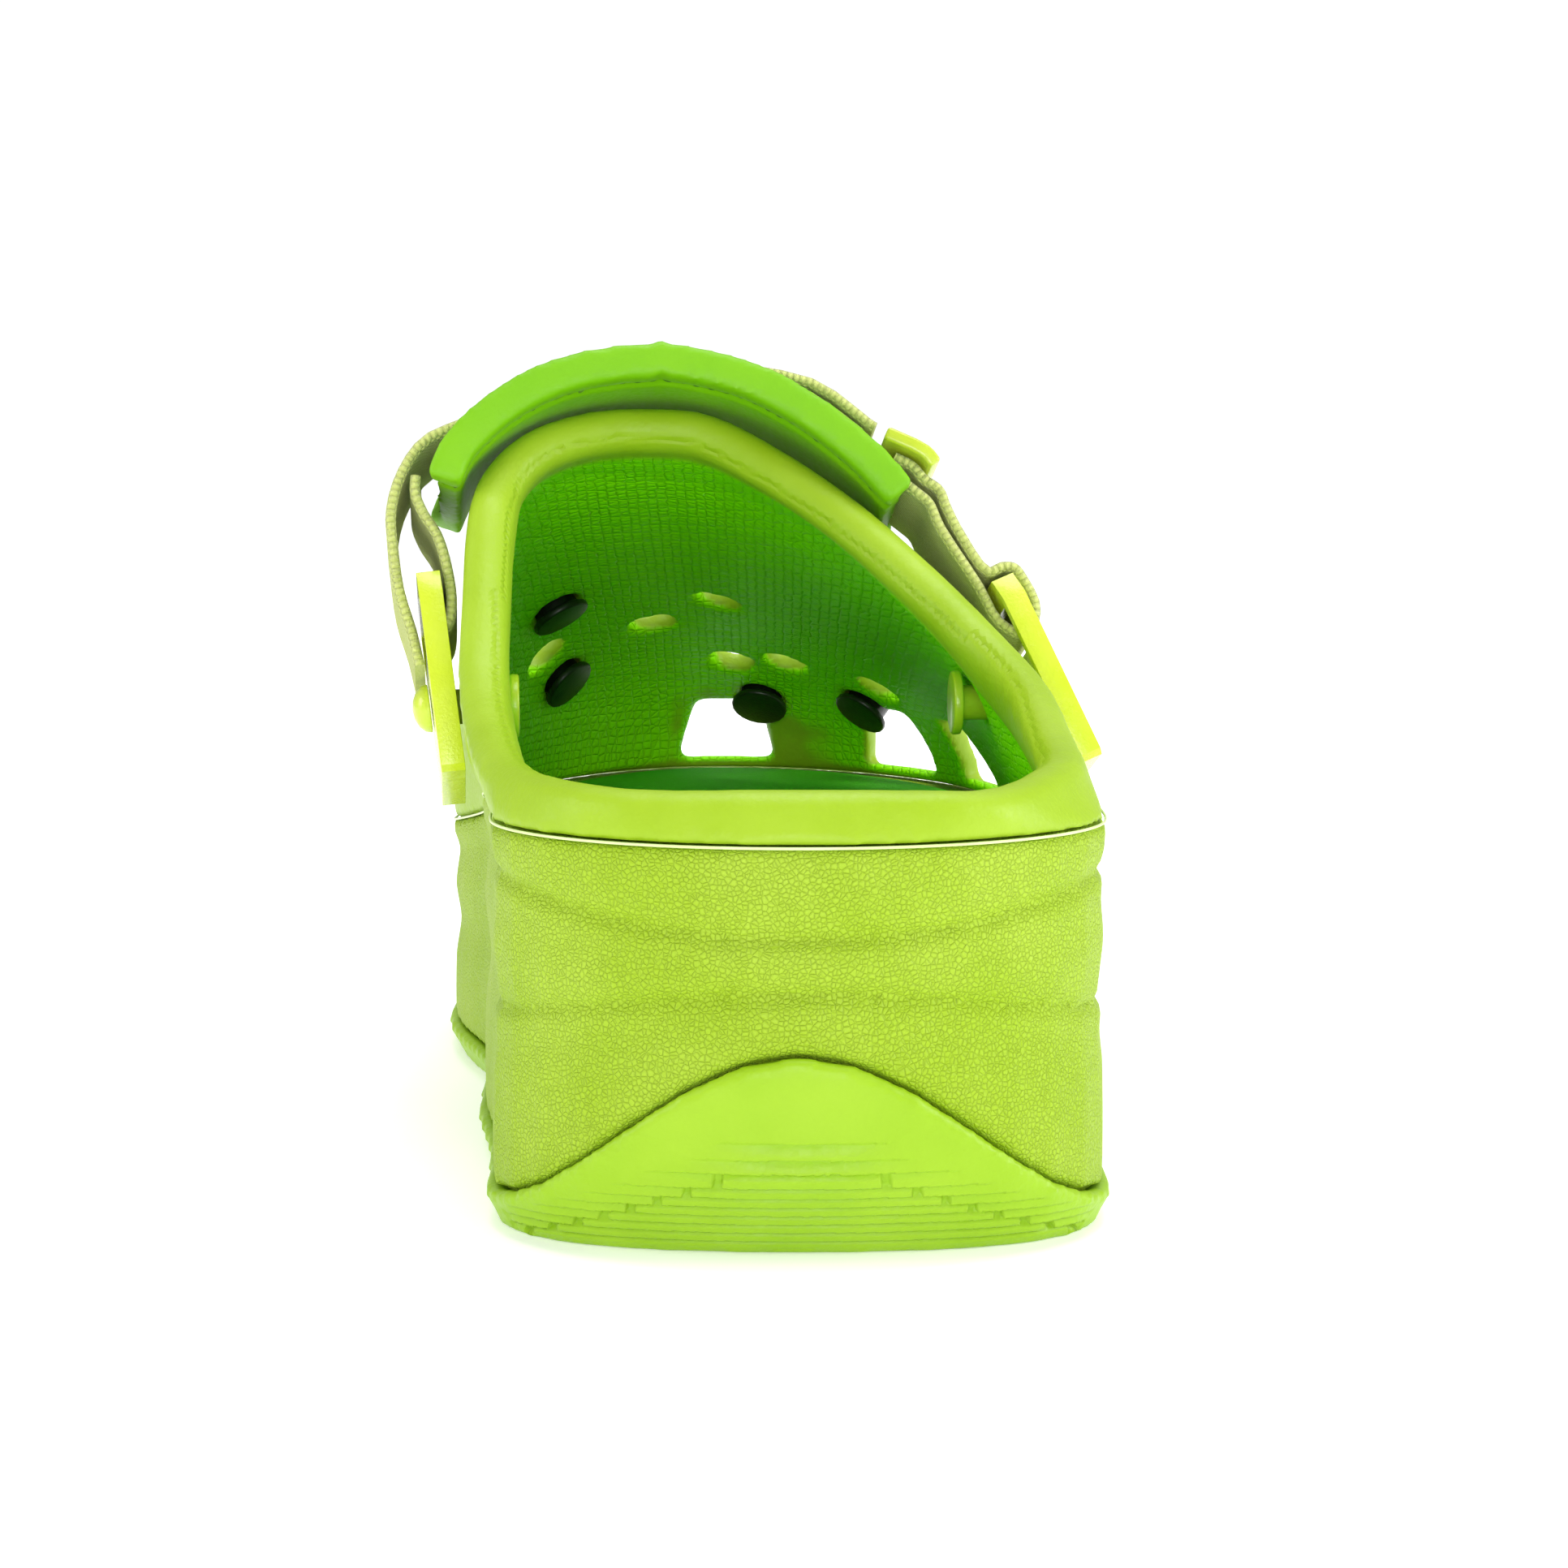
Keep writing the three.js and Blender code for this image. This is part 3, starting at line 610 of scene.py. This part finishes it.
def remeshed(node: str, voxel_mm: float, passes: int) -> Mesh:
    """Even, softly rounded copy of a CAD node, as moulded foam is.

    Args:
        node: Name of the CAD node.
        voxel_mm: Size of a voxel.
        passes: How many times its points are smoothed.

    Returns:
        The new mesh.
    """
    work = copy_of(node)
    mesh = bpy.data.meshes.new(node + "_remesh")
    work.to_mesh(mesh)
    work.free()
    carrier = bpy.data.objects.new(mesh.name, mesh)
    bpy.context.scene.collection.objects.link(carrier)
    remesh = carrier.modifiers.new("remesh", "REMESH")
    remesh.mode = "VOXEL"
    remesh.voxel_size = voxel_mm * MM
    even = bpy.data.meshes.new_from_object(
        carrier.evaluated_get(bpy.context.evaluated_depsgraph_get())
    )
    bpy.data.objects.remove(carrier)
    work = bmesh.new()
    work.from_mesh(even)
    bpy.data.meshes.remove(even)
    for _ in range(passes):
        bmesh.ops.smooth_vert(
            work, verts=work.verts, factor=0.5, use_axis_x=True, use_axis_y=True, use_axis_z=True
        )
    work.normal_update()
    return work


def bevelled(
    node: str, name: str, body: Body, finish: str, width_mm: float
) -> bpy.types.Object:
    """Copy of a CAD node with rounded edges.

    Args:
        node: Name of the CAD node.
        name: Name of the piece.
        body: Body that it rides on.
        finish: Name of its finish.
        width_mm: Width of the rounded edges.

    Returns:
        The new object.
    """
    work = copy_of(node)
    bmesh.ops.dissolve_limit(
        work, angle_limit=math.radians(1.5), verts=work.verts, edges=work.edges
    )
    sharp = [e for e in work.edges if e.calc_face_angle(0.0) > math.radians(35)]
    bmesh.ops.bevel(
        work, geom=sharp, offset=width_mm * MM, segments=3, profile=0.5,
        affect="EDGES", material=-1, clamp_overlap=True,
    )
    return finished(work, name, body, finish, (node,), 40.0)


def bump(value: float, centre: float, width: float) -> float:
    """Smooth hump of height 1 around a centre.

    Args:
        value: Where the hump is read.
        centre: Where it is highest.
        width: Distance at which it has fallen to about a third.

    Returns:
        Height of the hump, 0 to 1.
    """
    return math.exp(-(((value - centre) / width) ** 2))


def ease(value: float) -> float:
    """Smooth step from 0 to 1.

    Args:
        value: Place along the step, 0 at its start and 1 at its end.

    Returns:
        Height of the step, 0 to 1.
    """
    t = min(1.0, max(0.0, value))
    return t * t * (3 - 2 * t)


# ---- sole ---------------------------------------------------------------------------


@dataclass
class Sole:
    """Outsole with its heel tread, grained midsole, glue line and footbed. Sizes in mm."""

    heel_x: float = 10.8
    steps: tuple[float, ...] = (13.7, 11.3, 9.6, 8.0, 6.5, 5.0, 3.5, 2.0, 0.6)
    grooves: tuple[tuple[float, float], ...] = ((18.6, 13.5), (15.9, 17.0), (13.8, 20.5))
    middle_half_width: float = 11.6
    middle_top: float = 11.3
    middle_spread: float = 2.65
    tread_depth: float = 1.05
    notch: float = 1.3
    fin_length: float = 11.0
    glue_radius: float = 0.22
    creases: tuple[tuple[float, float], ...] = ((48.0, 6.0), (40.0, -6.0))
    crease_depth: float = 0.8
    crease_reach: float = 70.0
    crease_half_width: float = 45.0
    crease_fade: float = 30.0
    crease_width: float = 0.75
    lip_share: float = 0.55
    lip_below: float = 2.4
    lip_width: float = 1.9
    rim_flatness: float = 0.85
    wall_steepness: float = 0.7
    wall_outwards: float = 0.3

    def build(self) -> None:
        """Make and dress every piece of the sole."""
        self.outsole()
        self.midsole()
        self.footbed()
        self.glue_line()

    def step_half_width(self, height: float) -> float:
        """Half width of the tread's middle.

        Args:
            height: Height of the step that it lies below.

        Returns:
            Half width in mm.
        """
        return self.middle_half_width + (self.middle_top - height) * self.middle_spread

    def relief(self, across: float, height: float) -> float:
        """Depth of the heel tread at a place on the back of the outsole.

        Args:
            across: Distance to the side of the heel's middle.
            height: Height above the floor.

        Returns:
            How far the surface lies inwards.
        """
        depth = 0.0
        side = abs(across)
        for level, half in self.grooves:
            below = (level - height) / 2.1
            if 0 <= below < 1 and side < half:
                depth = max(depth, (1 - below) ** 1.5 * (1 - (side / half) ** 2))
        for level, lower in zip(self.steps, self.steps[1:]):
            if not lower < height <= level:
                continue
            below = (level - height) / (level - lower)
            half = self.step_half_width(lower)
            fin_end = half + self.notch + self.fin_length
            if side < half:
                depth = 0.1 + 0.9 * max(0.0, 1 - below * 2.4)
            elif side < half + self.notch:
                depth = 1.1
            elif side < fin_end:
                reach = (side - half - self.notch) / self.fin_length
                depth = (1 - below) ** 1.3 * (1 - reach**1.5)
        return depth * self.tread_depth

    def outsole(self) -> None:
        """Outsole with stepped bars across the back of the heel and fins beside them."""
        work = remeshed("outsole", 1.15, 3)
        back = CAD_BOX[0].y
        for _ in range(2):
            patch = [
                e
                for e in work.edges
                if all(
                    abs(v.co.x / MM - self.heel_x) < 44
                    and v.co.y < back + 26 * MM
                    and 0.3 * MM < v.co.z < 19.6 * MM
                    and v.normal.y < -0.25
                    for v in e.verts
                )
            ]
            bmesh.ops.subdivide_edges(work, edges=patch, cuts=1, use_grid_fill=True, smooth=0.0)
            work.normal_update()
        moves = []
        for v in work.verts:
            if v.co.y < back + 26 * MM and v.normal.y < -0.25 and v.co.z < 20 * MM:
                depth = self.relief(v.co.x / MM - self.heel_x, v.co.z / MM)
                fade = ease((-v.normal.y - 0.25) / 0.2)
                moves.append((v, v.normal * (-depth * fade * MM)))
        for v, move in moves:
            v.co += move
        finished(work, "outsole_tread", Body.CLOG, "outsole", ("outsole",))

    def midsole(self) -> None:
        """Thick midsole with two creases around its heel."""
        work = remeshed("midsole", 1.1, 2)
        back = CAD_BOX[0].y
        for v in work.verts:
            if abs(v.normal.z) > 0.6 or v.co.y > back + self.crease_reach * MM:
                continue
            out = ((v.co.x / MM - self.heel_x) / self.crease_half_width) ** 2
            from_front = back / MM + self.crease_reach - v.co.y / MM
            fade = ease(from_front / self.crease_fade)
            depth = 0.0
            for level, rise in self.creases:
                above = v.co.z / MM - (level + rise * out)
                lip = self.lip_share * bump(above, -self.lip_below, self.lip_width)
                depth += bump(above, 0.0, self.crease_width) - lip
            v.co -= v.normal * (depth * fade * self.crease_depth * MM)
        work.normal_update()
        finished(work, "midsole_foam", Body.CLOG, "midsole", ("midsole",))

    def footbed(self) -> None:
        """Footbed with a rounded edge."""
        work = remeshed("footbed", 1.2, 3)
        finished(work, "footbed_foam", Body.CLOG, "footbed", ("footbed",))

    def seam(self) -> list[Vector]:
        """Outer edge of the midsole's rim.

        Returns:
            Points of the edge, in order around the sole.
        """
        work = copy_of("midsole")
        following: dict[int, list[int]] = {}
        places = {v.index: v.co.copy() for v in work.verts}
        for edge in work.edges:
            if len(edge.link_faces) != 2:
                continue
            top, wall = sorted(edge.link_faces, key=lambda f: -f.normal.z)
            middle = (edge.verts[0].co + edge.verts[1].co) / 2
            outwards = Vector((middle.x, middle.y * 0.4, 0.0)).normalized()
            flat = top.normal.z >= self.rim_flatness
            steep = wall.normal.z <= self.wall_steepness
            if not (flat and steep and wall.normal.dot(outwards) >= self.wall_outwards):
                continue
            for one, other in (tuple(edge.verts), tuple(edge.verts)[::-1]):
                following.setdefault(one.index, []).append(other.index)
        work.free()
        longest: list[Vector] = []
        left = set(following)
        while left:
            here = min(left)
            walk = []
            while here in left:
                left.discard(here)
                walk.append(here)
                here = next((n for n in following[here] if n in left), here)
            if len(walk) > len(longest):
                longest = [places[k] for k in walk]
        return longest

    def glue_line(self) -> None:
        """Thin bead of glue around the joint of the midsole and the upper."""
        outline = self.seam()
        curve = bpy.data.curves.new("glue_line", "CURVE")
        curve.dimensions = "3D"
        curve.bevel_depth = self.glue_radius * MM
        curve.bevel_resolution = 2
        spline = curve.splines.new("NURBS")
        spline.points.add(len(outline) - 1)
        for place, point in zip(spline.points, outline):
            place.co = (*point, 1.0)
        spline.use_cyclic_u = True
        spline.order_u = 3
        piece = bpy.data.objects.new("glue_line", curve)
        bpy.context.scene.collection.objects.link(piece)
        curve.materials.append(FINISHES["glue"])
        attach(piece, Body.CLOG.value)
        LOG.info("glue_line: %d points", len(outline))


# ---- upper --------------------------------------------------------------------------


@dataclass
class Upper:
    """Vented upper with its rolled collar, black discs of painted shade in the vents, and the
    rivets. Sizes in mm.
    """

    axis_x: float = 3.2
    axis_z: float = 55.0
    collar_y: float = -47.0
    collar_z: float = 82.0
    collar_slope: float = 1.1
    heel_collar_z: float = 63.5
    collar_slant: float = 1.487

    def build(self) -> None:
        """Make and dress every piece of the upper."""
        self.shell()
        # Painted shade: black discs in the vent holes stand for the shade of vents lying in shadow.
        for number in (1, 2, 3, 4):
            bevelled(
                f"vent_stud_{number}", f"vent_shade_disc_{number}", Body.CLOG, "stud", 0.5
            )
        for side in ("medial", "lateral"):
            bevelled(f"{side}_rivet", f"{side}_rivet_stud", Body.CLOG, "rivet", 0.4)

    def past_collar(self, point: Vector) -> float:
        """Distance from the slanted front of the collar into the toe.

        Args:
            point: A place on the upper.

        Returns:
            The distance in mm, negative on the heel's side.
        """
        y, z = point.y / MM, point.z / MM
        slanted = (y - self.collar_y) * self.collar_slope - (z - self.collar_z)
        return slanted / self.collar_slant

    def shell(self) -> None:
        """Upper with marks for its scaled inside, painted a brighter green for bounced light, and
        for the parting line of its collar.
        """
        work = remeshed("upper_shell", 0.95, 6)
        inside = work.verts.layers.float.new("inside")
        parting = work.verts.layers.float.new("parting")
        for v in work.verts:
            out = Vector((v.co.x - self.axis_x * MM, 0.0, v.co.z - self.axis_z * MM))
            if v.co.y < self.collar_y * MM:
                out = Vector((v.co.x - 11 * MM, (v.co.y + 0.045) * 1.2, 0.0))
            facing = v.normal.dot(out.normalized())
            depth = self.past_collar(v.co)
            v[inside] = ease((-facing - 0.1) / 0.3) * ease((depth - 4) / 5)
            on_roll = abs(depth) < 6 or (
                v.co.y < self.collar_y * MM and v.co.z > self.heel_collar_z * MM
            )
            if on_roll:
                v[parting] = bump(facing, -0.3, 0.09)
        finished(work, "upper_foam", Body.CLOG, "upper", ("upper_shell",))


# ---- heel strap ---------------------------------------------------------------------


def strap_frame() -> Matrix:
    """Frame of the leaning strap: x along the hinge, z away from it, y across the strap."""
    joint = frame["joints"][0]
    axis = Vector(joint["axis"])
    yaw = math.atan2(axis.y, axis.x)
    turn = Euler((0.0, 0.0, yaw)).to_matrix().to_4x4()
    lean = Euler((math.radians(-18), 0.0, 0.0)).to_matrix().to_4x4()
    return Matrix.Translation(Vector(joint["pos_m"])) @ turn @ lean


@dataclass
class HeelStrap:
    """Padded heel strap with its webbings, clips, slider and stitches. Sizes in mm."""

    pad_voxel: float = 0.8
    ridge_x: float = -18.5
    ridge_height: float = 0.55
    seam_y: float = -12.2
    seam_depth: float = 0.9
    stitch_pitch: float = 2.3
    stitch_length: float = 1.7
    stitch_radius: float = 0.45
    webbing_half_width: float = 12.5
    loop_pitch: float = 1.15
    loop_height: float = 0.16
    band_step: float = 0.28
    band_slack: float = 0.25
    flat_steps: int = 20
    edge_steps: int = 6
    place: Matrix = field(default_factory=strap_frame)

    def build(self) -> None:
        """Make and dress every piece of the strap."""
        self.pad()
        for node in ("strap_webbing", "medial_webbing", "lateral_webbing"):
            self.webbing(node, node + "_knit", "webbing", self.webbing_half_width, 2.0)
        self.webbing("hook_tape", "hook_tape_weave", "tape", self.webbing_half_width - 0.5, 0.8)
        for side in ("medial", "lateral"):
            bevelled(f"{side}_clip", f"{side}_clip_plate", Body.STRAP, "clip", 0.7)
            bevelled(f"{side}_rivet_cap", f"{side}_rivet_dome", Body.STRAP, "rivet", 0.3)
        bevelled("strap_slider", "slider_plate", Body.STRAP, "slider", 0.6)

    def pad(self) -> None:
        """Foam pad with a ridge over the instep and a sewn channel near its back edge."""
        work = remeshed("strap_pad", self.pad_voxel, 5)
        back = self.place.inverted()
        turn = self.place.to_3x3()
        for v in work.verts:
            local = back @ v.co
            x, y = local.x / MM, local.y / MM
            outwards = Vector((local.x + 18 * MM, 0.0, local.z)).normalized()
            facing = (back.to_3x3() @ v.normal).dot(outwards)
            ridge = self.ridge_height * bump(x, self.ridge_x, 1.1) * bump(y, -17.0, 6.0)
            dent = 0.0
            if facing < -0.3:
                dent = self.seam_depth * bump(y, self.seam_y, 0.75)
            v.co += turn @ (outwards * ((ridge + dent) * MM))
        work.normal_update()
        tree = BVHTree.FromBMesh(work)
        piece = finished(work, "instep_pad", Body.STRAP, "pad", ("strap_pad",))
        self.stitches(tree)

    def stitches(self, tree: BVHTree) -> None:
        """Row of stitches in the pad's sewn channel.

        Args:
            tree: The pad's surface.
        """
        centre = Vector((-18.0, self.seam_y, 12.0)) * MM
        hits: list[Vector] = []
        angle = math.radians(152)
        while angle > math.radians(32):
            way = Vector((math.cos(angle), 0.0, math.sin(angle)))
            hit = tree.ray_cast(self.place @ centre, self.place.to_3x3() @ way)[0]
            if hit is not None:
                hits.append(hit)
            angle -= math.radians(0.5)
        work = bmesh.new()
        travelled, last = 0.0, hits[0]
        for point, ahead in zip(hits, hits[1:]):
            travelled += (point - last).length / MM
            last = point
            if travelled < self.stitch_pitch:
                continue
            travelled = 0.0
            along = (ahead - point).normalized()
            turn = along.to_track_quat("Z", "Y").to_matrix().to_4x4()
            size = Matrix.Diagonal(
                (
                    self.stitch_radius * MM,
                    self.stitch_radius * MM,
                    self.stitch_length / 2 * MM,
                    1.0,
                )
            )
            bmesh.ops.create_uvsphere(
                work, u_segments=8, v_segments=6, radius=1.0,
                matrix=Matrix.Translation(point) @ turn @ size,
            )
        finished(work, "pad_stitches", Body.STRAP, "thread", ())

    def middle_line(self, node: str) -> list[Vector]:
        """Middle line of a band's CAD node, in the strap's frame.

        Args:
            node: Name of the CAD node.

        Returns:
            Points from one end of the band to the other.
        """
        work = copy_of(node)
        work.transform(self.place.inverted())
        low = min(v.co.y for v in work.verts)
        edge = [v for v in work.verts if v.co.y < low + 0.01 * MM]
        near = {
            v: [
                e.other_vert(v)
                for e in v.link_edges
                if e.other_vert(v).co.y < low + 0.01 * MM and e.calc_face_angle(0.0) > 1.0
            ]
            for v in edge
        }
        loop = [edge[0]]
        while len(loop) < len(edge):
            following = [v for v in near[loop[-1]] if v not in loop[-2:]]
            if not following or following[0] is loop[0]:
                break
            loop.append(following[0])
        points = [Vector((v.co.x, 0.0, v.co.z)) for v in loop]
        count = len(points)

        def spread(start: int) -> float:
            """Unevenness of the thickness when the loop is split at a start.

            Args:
                start: Index of the loop's point where it is split.

            Returns:
                Greatest less least thickness.
            """
            widths = [
                (points[(start + i) % count] - points[(start - 1 - i) % count]).length
                for i in range(count // 2)
            ]
            return max(widths) - min(widths)

        start = min(range(count), key=spread)
        line = [
            (points[(start + i) % count] + points[(start - 1 - i) % count]) / 2
            for i in range(count // 2)
        ]
        work.free()
        return line

    def webbing(
        self, node: str, name: str, finish: str, half_width: float, thickness: float
    ) -> None:
        """Knitted band along a CAD node's middle line, with looped edges.

        Args:
            node: Name of the CAD node.
            name: Name of the piece.
            finish: Name of its finish.
            half_width: Half of its width.
            thickness: Its thickness.
        """
        line = self.middle_line(node)
        lengths = [0.0]
        for a, b in zip(line, line[1:]):
            lengths.append(lengths[-1] + (b - a).length)
        total = lengths[-1]
        ways = [
            (line[min(k + 1, len(line) - 1)] - line[max(k - 1, 0)]).normalized()
            for k in range(len(line))
        ]

        def at(distance: float) -> tuple[Vector, Vector]:
            """Place on the line.

            Args:
                distance: Distance along the line.

            Returns:
                The point there, and the band's normal.
            """
            k = 0
            while k + 2 < len(lengths) and lengths[k + 1] < distance:
                k += 1
            part = (distance - lengths[k]) / max(1e-9, lengths[k + 1] - lengths[k])
            way = ways[k].lerp(ways[k + 1], part).normalized()
            return line[k].lerp(line[k + 1], part), Vector((-way.z, 0.0, way.x))

        steps = max(12, int(total / (self.band_step * MM)))
        half_body = (thickness - self.band_slack) / 2
        section = self.section(half_width - 0.2, half_body)
        work = bmesh.new()
        layer = work.loops.layers.uv.new("route")
        rings = []
        for step in range(steps + 1):
            distance = total * step / steps
            point, normal = at(distance)
            wave = math.sin(2 * math.pi * distance / MM / self.loop_pitch)
            ring = []
            for across, out in section:
                loops = self.loop_height * wave * ease((abs(across) / half_width - 0.9) / 0.1)
                sideways = Vector((0.0, (across + math.copysign(loops, across)) * MM, 0.0))
                ring.append(work.verts.new(point + normal * (out * MM) + sideways))
            rings.append(ring)
        count = len(section)
        for step, (ring, ahead) in enumerate(zip(rings, rings[1:])):
            for k in range(count):
                after = (k + 1) % count
                face = work.faces.new((ring[k], ring[after], ahead[after], ahead[k]))
                places = ((step, k), (step, after), (step + 1, after), (step + 1, k))
                for corner, (row, column) in zip(face.loops, places):
                    corner[layer].uv = (total * row / steps / MM, section[column][0])
        work.faces.new(rings[0])
        work.faces.new(rings[-1][::-1])
        bmesh.ops.recalc_face_normals(work, faces=work.faces)
        work.transform(self.place)
        finished(work, name, Body.STRAP, finish, (node,), 60.0)

    def section(self, half_width: float, half_body: float) -> list[tuple[float, float]]:
        """Closed section of a band, flat on both faces and round at both edges.

        Args:
            half_width: Half of its width.
            half_body: Half of its thickness.

        Returns:
            Points across and out, in order around the section.
        """
        flat = half_width - half_body
        points = []
        for k in range(self.flat_steps):
            points.append((-flat + 2 * flat * k / self.flat_steps, half_body))
        for k in range(self.edge_steps):
            angle = math.pi / 2 - math.pi * k / self.edge_steps
            points.append((flat + half_body * math.cos(angle), half_body * math.sin(angle)))
        return points + [(-across, -out) for across, out in points]


# ---- studio -------------------------------------------------------------------------


@dataclass
class Studio:
    """Pale floor with a painted glow, white backdrop light and the camera behind the heel."""

    camera_at: tuple[float, float, float] = (0.00822, -0.6699, 0.133)
    pitch_degrees: float = -6.69
    lens_mm: float = 86.98
    backdrop: float = 1.05
    fill: float = 0.43
    floor_glow: tuple[float, float] = (0.3, 0.62)

    def build(self) -> None:
        """Make the stage, the lights and the camera."""
        self.floor()
        self.lights()
        self.camera()

    def floor(self) -> None:
        """Large white floor that glows as painted light, dimmer near the clog and brighter far from
        it.
        """
        work = bmesh.new()
        bmesh.ops.create_grid(work, x_segments=1, y_segments=1, size=4.0)
        mesh = bpy.data.meshes.new("floor")
        work.to_mesh(mesh)
        work.free()
        floor = bpy.data.objects.new("floor", mesh)
        bpy.context.scene.collection.objects.link(floor)
        shader = Shader("floor_paper")
        shader.set(
            Base_Color=(0.95, 0.95, 0.95, 1.0), Roughness=0.7, Specular_IOR_Level=0.1,
            Emission_Color=(1.0, 1.0, 1.0, 1.0),
        )
        reach = shader.tree.nodes.new("ShaderNodeVectorMath")
        reach.operation = "LENGTH"
        shader.tree.links.new(object_point(shader.tree), reach.inputs[0])
        # Painted light: the floor's glow rises with distance from the clog, so the far floor stays
        # white.
        glow = ramp(shader.tree, reach.outputs["Value"], 0.12, 0.5, *self.floor_glow)
        shader.feed("Emission Strength", glow)
        mesh.materials.append(shader.material)

    def lights(self) -> None:
        """Soft light from above, from both sides and from behind the camera."""
        world = bpy.data.worlds.new("studio")
        bpy.context.scene.world = world
        world.use_nodes = True
        background = world.node_tree.nodes["Background"]
        background.inputs["Color"].default_value = (1.0, 1.0, 1.0, 1.0)
        path = world.node_tree.nodes.new("ShaderNodeLightPath")
        strength = ramp(
            world.node_tree, path.outputs["Is Camera Ray"], 0.0, 1.0, self.fill, self.backdrop
        )
        world.node_tree.links.new(strength, background.inputs["Strength"])
        for name, place, aim, size, power in (
            ("top", (0.1, 0.1, 1.3), (0.0, 0.0, 0.05), 1.0, 13.0),
            ("right", (1.2, -0.25, 0.45), (0.0, -0.1, 0.05), 0.6, 9.0),
            ("left", (-1.2, -0.25, 0.5), (0.0, -0.1, 0.05), 0.6, 5.5),
            ("inside", (0.0, -1.0, 0.24), (0.0, 0.02, 0.09), 0.4, 3.6),
        ):
            data = bpy.data.lights.new(name, "AREA")
            data.size = size
            data.energy = power
            lamp = bpy.data.objects.new(name, data)
            lamp.location = place
            way = Vector(aim) - Vector(place)
            lamp.rotation_euler = way.to_track_quat("-Z", "Y").to_euler()
            bpy.context.scene.collection.objects.link(lamp)
        bpy.context.scene.view_settings.view_transform = "Standard"

    def camera(self) -> None:
        """Camera behind the heel, looking along the foot and slightly down."""
        data = bpy.data.cameras.new("camera")
        data.lens = self.lens_mm
        data.sensor_width = 36.0
        data.clip_start = 0.01
        camera = bpy.data.objects.new("camera", data)
        camera.location = self.camera_at
        camera.rotation_euler = (math.radians(90 + self.pitch_degrees), 0.0, 0.0)
        bpy.context.scene.collection.objects.link(camera)
        bpy.context.scene.camera = camera


def main() -> None:
    """Build the clog, its strap and the studio."""
    logging.basicConfig(level=logging.INFO, format="%(message)s")
    Studio().build()
    for assembly in (Sole(), Upper(), HeelStrap()):
        assembly.build()


if __name__ == "__main__":
    main()
